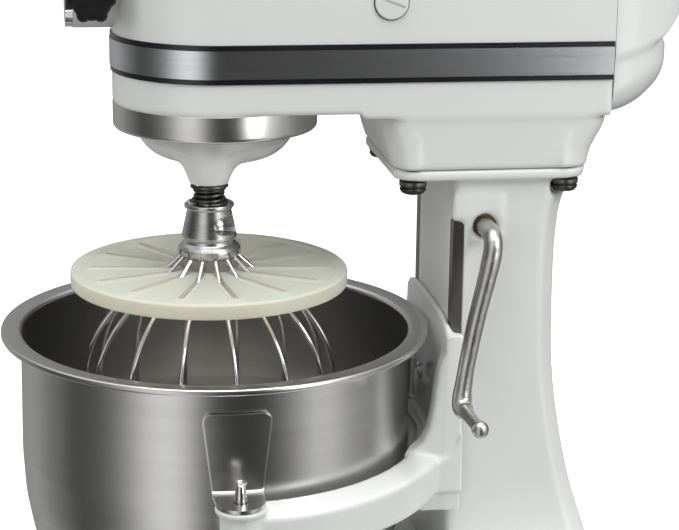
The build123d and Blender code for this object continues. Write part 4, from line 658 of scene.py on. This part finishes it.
def softened(mesh, voxel, rounds, keep, warp=None):
    """Casting with soft edges and fillets from closed meshes; warp moves its points before they are smoothed."""
    mesh = modified(mesh, "REMESH", mode="VOXEL", voxel_size=voxel)
    if warp:
        for vertex in mesh.vertices:
            warp(vertex.co)
    mesh = modified(mesh, "SMOOTH", factor=0.5, iterations=rounds)
    return modified(mesh, "DECIMATE", ratio=keep)


def upright(u, v, depth):
    """Places an outline of (x, height) at a distance along Y."""
    return (u, depth, v)


def edgewise(u, v, depth):
    """Places an outline of (distance along Y, height) at a distance along X."""
    return (depth, u, v)


def flatwise(u, v, depth):
    """Places an outline of (x, y) at a height."""
    return (u, v, depth)


def arm_ring():
    """Section of the arms swept round the bowl: a ridge below the inner edge, and a drawn-in foot."""
    section = rounded([(ARM_IN, ARM_LOW), (ARM_OUT - 1.2 * MM, ARM_LOW), (ARM_OUT, ARM_HIGH - 3.6 * MM),
                       (ARM_IN + 1 * MM, ARM_HIGH + 0.4 * MM), (ARM_IN, ARM_HIGH + 0.4 * MM)],
                      [1 * MM, 2.5 * MM, 2 * MM, 1 * MM, 0.8 * MM], 4)
    rings = []
    for step in range(193):
        turn = radians(-4.6 + 189.2 * step / 192)
        rings.append([Vector((AXIS.x + r * cos(turn), AXIS.y + r * sin(turn), z)) for r, z in section])
    return loft("arm", rings)


def support_parts():
    plate = rounded([(-55, 78), (55, 78), (55, 175), (49, 179.8), (35, 182.4), (0, 183.3), (-35, 182.4),
                     (-49, 179.8), (-55, 175)], [4, 4, 5, 8, 20, 40, 20, 8, 5], 5)
    parts = [prism([(u * MM, v * MM) for u, v in plate], upright, YOKE_FRONT, YOKE_BACK + 0.3 * MM), arm_ring()]
    ramp = [(AXIS.y + y * MM, z * MM) for y, z in RAMP_TOP]
    ramp += [(YOKE_BACK, RAMP_TOP[-1][1] * MM), (YOKE_BACK, 90 * MM), (ramp[0][0], 90 * MM)]
    block = [(x * MM, AXIS.y + max(102.7, sqrt(109.6 ** 2 - x ** 2)) * MM) for x in range(-54, 55, 3)]
    block += [(54.6 * MM, YOKE_BACK), (-54.6 * MM, YOKE_BACK)]
    parts.append(prism(block, flatwise, YOKE_LOW, ARM_HIGH))
    for side in (-1, 1):
        inner, outer = sorted((side * (CHEEK_OUT - 6.3 * MM), side * CHEEK_OUT))
        cheek = rounded([(YOKE_FRONT, YOKE_LOW), (CHEEK_BACK, YOKE_LOW), (CHEEK_BACK, 176.5 * MM),
                         (YOKE_FRONT, 176.5 * MM)], 2 * MM, 4)
        parts.append(prism(cheek, edgewise, inner, outer))
        low_x, high_x = sorted((side * 43.5 * MM, side * 54.6 * MM))
        parts.append(prism(ramp, edgewise, low_x, high_x))
        fillet = [(AXIS.y + y * MM, z * MM) for y, z in [(100, 90), (126, 90), (125.4, 126), (123, 117), (118, 110),
                                                        (110, 106.5), (100, 106)]]
        low_x, high_x = sorted((side * 50 * MM, side * 57.6 * MM))
        parts.append(prism(fillet, edgewise, low_x, high_x))
        pad = circle(12.9 * MM, 64, side * PIN_X, AXIS.y)
        parts.append(prism(pad, flatwise, 110.6 * MM, 113.9 * MM))
        boss = circle(10.4 * MM, 48, side * PIN_X, AXIS.y)
        parts.append(prism(boss, flatwise, ARM_LOW, ARM_HIGH))
    return parts


# ---------------------------------------------------------------- gear case and column
# How far the rear of the neck is drawn in at each height, in mm, so that it runs hollow up into the head.
NECK_HOLLOW = [(264.2, 2.6), (268, 3.7), (274, 4.2), (280, 2.8), (285, 1.2), (290, 0.0), (294.3, 0.0)]
# How far the walls above the neck are drawn down at each height, in mm: it brings the crease under the head lower.
NECK_DROP = [(270, 0), (284, 1.4), (291, 2.8), (298, 2.8), (308, 1.2), (316, 0)]
# The column's plate is drawn in towards its underside at the rear, in mm.
PLATE_TAPER = [(255, 0), (257.9, 0), (258.2, 2.6), (264.2, 0.8)]
REAR_START, REAR_LENGTH = SEAM_Y - 50 * MM, 36 * MM      # the rear is drawn in over this stretch
NECK_TOP, NECK_FRONT, NECK_SIDE = 296 * MM, AXIS.y + 70 * MM, 50 * MM


def at_height(table, height):
    """Value of a table of (height in mm, value in mm), in metres."""
    return MM * float(np.interp(height / MM, *zip(*table)))


def rear_share(point):
    return min(max((point.y - REAR_START) / REAR_LENGTH, 0), 1)


def draw_in(point, table):
    share = rear_share(point)
    if share and point.z < NECK_TOP:
        point.y -= share * at_height(table, point.z)


def shape_neck(point):
    share = rear_share(point)
    draw_in(point, NECK_HOLLOW)
    if point.y > NECK_FRONT and (abs(point.x) > NECK_SIDE or share > 0.9):
        point.z -= at_height(NECK_DROP, point.z)


def recast(node, voxel, rounds, keep, warp):
    """Casting after a machined piece: the same walls with soft edges and fillets."""
    name = node + "_cast"
    mesh = NODES[node].data.copy()
    mesh.transform(NODES[node].matrix_world)
    mesh.name = name
    show_piece(name, softened(mesh, voxel, rounds, keep, warp), BODY_OF[node], "enamel", [node], sharp=60)


recast("gear_case", 1.2 * MM, 8, 0.4, shape_neck)
recast("column", 1.4 * MM, 8, 0.35, lambda point: draw_in(point, PLATE_TAPER))

# ---------------------------------------------------------------- head screws
# Cheese head on a washer, as (radius, distance below the plate) in mm, and the rounding of each corner.
SCREW_PROFILE = [(0.01, 0.05), (7.15, 0.05), (7.15, 2.4), (6.3, 3.0), (6.3, 3.3), (6.9, 3.7), (6.9, 4.6), (5.6, 6.3),
                 (3.2, 7.0), (0.01, 7.0)]
SCREW_ROUNDING = [0, 0, 0.9, 0.2, 0.2, 0.5, 0.8, 1.5, 2, 0]
SCREW_PLACES = [(-45, 97.6), (45, 97.6), (-45, 178), (45, 178)]
SCREW_TURN = 0.35
PLATE_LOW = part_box("column")[1].z - 6.2 * MM
SHANK_R, SHANK_TOP = 3.05 * MM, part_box("head_screws")[1].z


def slot_outline(half_long, half_wide):
    return [(-half_wide, -half_long), (half_wide, -half_long), (half_wide, half_long), (-half_wide, half_long)]


def head_screw(x, y):
    axis = Vector((x * MM, AXIS.y + y * MM, 0))
    outline = rounded(SCREW_PROFILE, SCREW_ROUNDING, 5, closed=False)
    head = lathe("head", [(r * MM, PLATE_LOW - drop * MM) for r, drop in outline], axis, 72)
    slot = prism(slot_outline(9 * MM, 0.8 * MM),
                 lambda u, v, depth: (axis.x + u * cos(SCREW_TURN) - v * sin(SCREW_TURN),
                                      axis.y + u * sin(SCREW_TURN) + v * cos(SCREW_TURN), depth),
                 PLATE_LOW - 8 * MM, PLATE_LOW - 4.9 * MM)
    shank = lathe("shank", [(0.01 * MM, PLATE_LOW), (SHANK_R, PLATE_LOW), (SHANK_R, SHANK_TOP),
                            (0.01 * MM, SHANK_TOP)], axis, 32)
    return [carved(head, [slot]), shank]


screws = [mesh for place in SCREW_PLACES for mesh in head_screw(*place)]
show_piece("head_screws_turned", joined("head_screws_turned", screws), BODY_OF["head_screws"], "dark_steel",
           ["head_screws"], sharp=50)

# ---------------------------------------------------------------- brush caps
# Cap with an undercut round its foot, as (radius, distance out from the head's middle) in mm, and its roundings.
CAP_PROFILE = [(0.01, 42), (6.2, 42), (6.2, 53.7), (7.7, 53.7), (7.9, 54.0), (8.45, 54.15), (8.45, 54.75),
               (7.9, 55.2), (0.01, 55.2)]
CAP_ROUNDING = [0, 0, 0, 0, 0.1, 0.15, 0.3, 0.6, 0]
# Thin black ring laid on the head round each cap's foot: painted shade, a dark ring put where the gap under the cap
# lies in shade.
CAP_SHADE_RING_PROFILE = [(8.05, 53.45), (9.0, 53.45), (9.0, 53.72), (8.05, 53.72)]
CAP_AT, CAP_TURN = middle("brush_caps"), radians(-20)


def cap_ring(name, profile, side):
    """Solid of revolution about the cap's own axis, which lies along X."""
    return loft(name, [[Vector((side * x * MM, CAP_AT.y + r * MM * cos(2 * pi * step / 96),
                                CAP_AT.z + r * MM * sin(2 * pi * step / 96))) for r, x in profile]
                       for step in range(96)], looped=True)


def brush_cap(side):
    cap = cap_ring("cap", rounded(CAP_PROFILE, CAP_ROUNDING, 5, closed=False), side)
    slot = prism([(-7 * MM, -0.75 * MM), (7 * MM, -0.75 * MM), (7 * MM, 0.75 * MM), (-7 * MM, 0.75 * MM)],
                 lambda u, v, depth: (depth, CAP_AT.y + u * cos(CAP_TURN) - v * sin(CAP_TURN),
                                      CAP_AT.z + u * sin(CAP_TURN) + v * cos(CAP_TURN)),
                 *sorted((side * 54.4 * MM, side * 57 * MM)))
    return carved(cap, [slot])


show_piece("brush_caps_moulded", joined("brush_caps_moulded", [brush_cap(-1), brush_cap(1)]), BODY_OF["brush_caps"],
           "cap_plastic", ["brush_caps"], sharp=40)
# The black rings round the caps' feet are painted shade of the gap under each cap.
cap_shade_rings = [cap_ring("cap_shade_ring", CAP_SHADE_RING_PROFILE, side) for side in (-1, 1)]
show_piece("brush_cap_shade_rings", joined("brush_cap_shade_rings", cap_shade_rings), BODY_OF["brush_caps"], "rubber", sharp=40)

# ---------------------------------------------------------------- support casting
support = softened(joined("bowl_support_cast", support_parts()), 1.25 * MM, 7, 0.3)
ROOM_R = 109.5 * MM      # kept free for the bowl
holes = [prism(circle(ROOM_R, 240, AXIS.x, AXIS.y), flatwise, 60 * MM, 200 * MM)]
for side in (-1, 1):
    holes.append(prism(circle(3.4 * MM, 40), lambda u, v, depth, side=side: (side * PIN_X + u, AXIS.y + v, depth),
                       80 * MM, 120 * MM))
    holes.append(prism(circle(2.6 * MM, 32), lambda u, v, depth: (depth, AXIS.y + 1.6 * MM + u, 100 * MM + v),
                       *sorted((side * (PIN_X + 2 * MM), side * (PIN_X + 18 * MM)))))
show_piece("bowl_support_cast", carved(support, holes), BODY_OF["bowl_support"], "enamel", ["bowl_support"], sharp=60)

# ---------------------------------------------------------------- lift lever
# Line of the lever and its radius, as (x, distance behind the bowl axis, height, radius) in mm.
LEVER_LINE = [(15, 135.7, 233.5, 4.8), (34, 135.7, 233.5, 4.8), (52, 135.7, 233.5, 4.8), (61, 135.7, 233.5, 4.85),
              (67.4, 135.4, 231.6, 4.95), (70.8, 134.8, 226.8, 4.95), (71.6, 133.4, 219, 4.9),
              (71.9, 131.2, 209, 4.7), (72, 129.3, 201, 4.6), (72, 125.4, 181.5, 4.4), (72, 122.9, 167, 4.35),
              (72, 121.4, 156.5, 4.5), (72.4, 120.6, 149.6, 5.0), (74.4, 120.3, 145.2, 5.25), (77.9, 120.4, 143.4, 5.0),
              (80.2, 120.6, 143.3, 3.9), (86, 121.2, 143.2, 3.5), (94, 121.9, 142.9, 3.4), (101, 122.5, 142.6, 3.45)]
LEVER_BALL, BALL_R = Vector((104.9, 122.9, 142.4)), 4.5


def lever_mesh():
    stations = [Vector(point) for point in LEVER_LINE]
    line = smooth_route([station.to_3d() for station in stations], 10)
    radii = smooth_route([Vector((station.w, 0, 0)) for station in stations], 10)
    line, radii = line[:-1], [radius.x for radius in radii[:-1]]
    ahead = (LEVER_BALL - line[-1]).normalized()
    start = pi - asin(3.45 / BALL_R)
    for step in range(19):
        angle = start - (start - 0.24) * step / 18
        line.append(LEVER_BALL + ahead * BALL_R * cos(angle))
        radii.append(BALL_R * sin(angle))
    lumpy = [radius * (1 + 0.018 * noise.noise(point * 0.09) + 0.010 * noise.noise(point * 0.31))
             for point, radius in zip(line, radii)]
    route = [Vector((point.x, point.y, point.z)) * MM + Vector((0, AXIS.y, 0)) for point in line]
    mesh = tube("lift_lever_forged", route, [radius * MM for radius in lumpy], 40)
    work = bmesh.new()
    work.from_mesh(mesh)
    for vertex in work.verts:
        if vertex.co.x > 0.05:
            away = noise.noise(vertex.co * 130) * 0.16 * MM
            vertex.co += vertex.normal * away
    work.to_mesh(mesh)
    work.free()
    return mesh


show_piece("lift_lever_forged", lever_mesh(), BODY_OF["lift_lever"], "lever_steel", ["lift_lever"], sharp=60)

# ---------------------------------------------------------------- drip ring
RING_LOW, RING_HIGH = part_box("drip_ring")[0].z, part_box("drip_ring")[1].z
RING_R = (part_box("drip_ring")[1].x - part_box("drip_ring")[0].x) / 2 / MM
RING_TALL = (RING_HIGH - RING_LOW) / MM
ring_outline = rounded([(RING_R, 0), (RING_R, RING_TALL), (RING_R - 1.3, RING_TALL), (RING_R - 1.3, 1.4), (46.4, 1.3),
                        (46.4, 0)], [2.6, 0.4, 0.2, 1.6, 0.3, 0.5], 7)
ring = lathe("drip_ring_spun", [(radius * MM, RING_LOW + height * MM) for radius, height in ring_outline], AXIS, 240)
show_piece("drip_ring_spun", ring, BODY_OF["drip_ring"], "stainless", ["drip_ring"], sharp=50)

# ---------------------------------------------------------------- camera
CAMERA_AT = Vector((1.0126, AXIS.y - 0.0990, 0.4832))
CAMERA_TO = Vector((0, AXIS.y + 0.0672, 0.2015))
CAMERA_ROLL = radians(0.76)
camera_data = bpy.data.cameras.new("camera")
camera_data.lens, camera_data.sensor_width = 104.05, 36
camera = bpy.data.objects.new("camera", camera_data)
turn = (CAMERA_TO - CAMERA_AT).to_track_quat("-Z", "Y").to_matrix() @ Matrix.Rotation(CAMERA_ROLL, 3, "Z")
camera.matrix_world = Matrix.Translation(CAMERA_AT) @ turn.to_4x4()
bpy.context.scene.collection.objects.link(camera)
bpy.context.scene.camera = camera

# ---------------------------------------------------------------- stage
# Brightness of the studio round the horizon, as (degrees from +X towards +Y, level): soft panels with dark gaps,
# which give the steel its upright bands.
PANELS = [(-180, 0.30), (-138, 0.42), (-112, 0.22), (-96, 0.07), (-78, 0.10), (-62, 0.24), (-52, 0.62), (-42, 1.00),
          (-32, 1.10), (-25, 0.95), (-17, 0.40), (-9, 0.06), (0, 0.03), (20, 0.03), (32, 0.10), (42, 0.36),
          (54, 0.82), (64, 0.78), (78, 0.40), (98, 0.28), (120, 0.14), (140, 0.06), (160, 0.10), (179, 0.28)]
BRIGHTEST, OVERHEAD = 1.3, 1.0


def studio_world():
    world = bpy.data.worlds.new("studio")
    world.use_nodes = True
    nodes, links = world.node_tree.nodes, world.node_tree.links
    where, split = nodes.new("ShaderNodeTexCoord"), nodes.new("ShaderNodeSeparateXYZ")
    links.new(where.outputs["Generated"], split.inputs["Vector"])
    angle = nodes.new("ShaderNodeMath")
    angle.operation = "ARCTAN2"
    links.new(split.outputs["Y"], angle.inputs[0])
    links.new(split.outputs["X"], angle.inputs[1])
    share = nodes.new("ShaderNodeMapRange")
    share.inputs["From Min"].default_value, share.inputs["From Max"].default_value = -pi, pi
    links.new(angle.outputs["Value"], share.inputs["Value"])
    ramp = nodes.new("ShaderNodeValToRGB")
    ramp.color_ramp.interpolation = "EASE"
    while len(ramp.color_ramp.elements) < len(PANELS):
        ramp.color_ramp.elements.new(0.5)
    for element, (degrees_round, level) in zip(ramp.color_ramp.elements, PANELS):
        element.position = (degrees_round + 180) / 360
        element.color = [level / BRIGHTEST] * 3 + [1]
    links.new(share.outputs["Result"], ramp.inputs["Fac"])
    high = nodes.new("ShaderNodeMapRange")
    high.interpolation_type = "SMOOTHSTEP"
    high.inputs["From Min"].default_value, high.inputs["From Max"].default_value = 0.42, 0.80
    links.new(split.outputs["Z"], high.inputs["Value"])
    mix = nodes.new("ShaderNodeMix")
    mix.data_type = "RGBA"
    links.new(high.outputs["Result"], mix.inputs["Factor"])
    links.new(ramp.outputs["Color"], mix.inputs["A"])
    mix.inputs["B"].default_value = [OVERHEAD / BRIGHTEST] * 3 + [1]
    links.new(mix.outputs["Result"], nodes["Background"].inputs["Color"])
    nodes["Background"].inputs["Strength"].default_value = BRIGHTEST
    return world


bpy.context.scene.world = studio_world()
bpy.context.scene.view_settings.view_transform = "Standard"
bpy.context.scene.view_settings.exposure = 0.0


def floor_card(name, size, place, colour, glow):
    """Square floor. Only the camera sees it, so that it doesn't fill the steel and the undersides with white."""
    mesh = bpy.data.meshes.new(name)
    half = size / 2
    mesh.from_pydata([(-half, -half, 0), (half, -half, 0), (half, half, 0), (-half, half, 0)], [], [(0, 1, 2, 3)])
    card = bpy.data.objects.new(name, mesh)
    card.location = place
    bpy.context.scene.collection.objects.link(card)
    card.data.materials.append(finish(name, colour, 0.6, vary=0.01, Emission_Color=(1, 1, 1, 1),
                                      Emission_Strength=glow))
    card.visible_glossy = card.visible_diffuse = card.visible_transmission = False
    return card


floor_card("floor", 18.0, Vector((0, 0, -0.0002)), (0.90, 0.90, 0.90), 0.35)


def area_light(name, place, aim, size, watts, mirrored=True):
    light = bpy.data.lights.new(name, "AREA")
    light.size, light.energy = size, watts
    lamp = bpy.data.objects.new(name, light)
    lamp.visible_glossy = mirrored
    lamp.matrix_world = Matrix.Translation(place) @ (aim - place).to_track_quat("-Z", "Y").to_matrix().to_4x4()
    bpy.context.scene.collection.objects.link(lamp)


CENTRE = Vector((0, 0, 0.25))
area_light("key_light", Vector((1.3, 1.4, 1.5)), CENTRE, 0.7, 21)
area_light("top_light", Vector((0.1, 0.0, 2.2)), Vector((-0.6, 0, 0)), 1.6, 30)
area_light("front_fill", Vector((0.35, -1.7, 0.9)), CENTRE, 1.1, 11, mirrored=False)
area_light("band_panel", Vector((1.02, 0.74, 0.16)), Vector((0.05, 0.15, 0.32)), 0.46, 2.1)
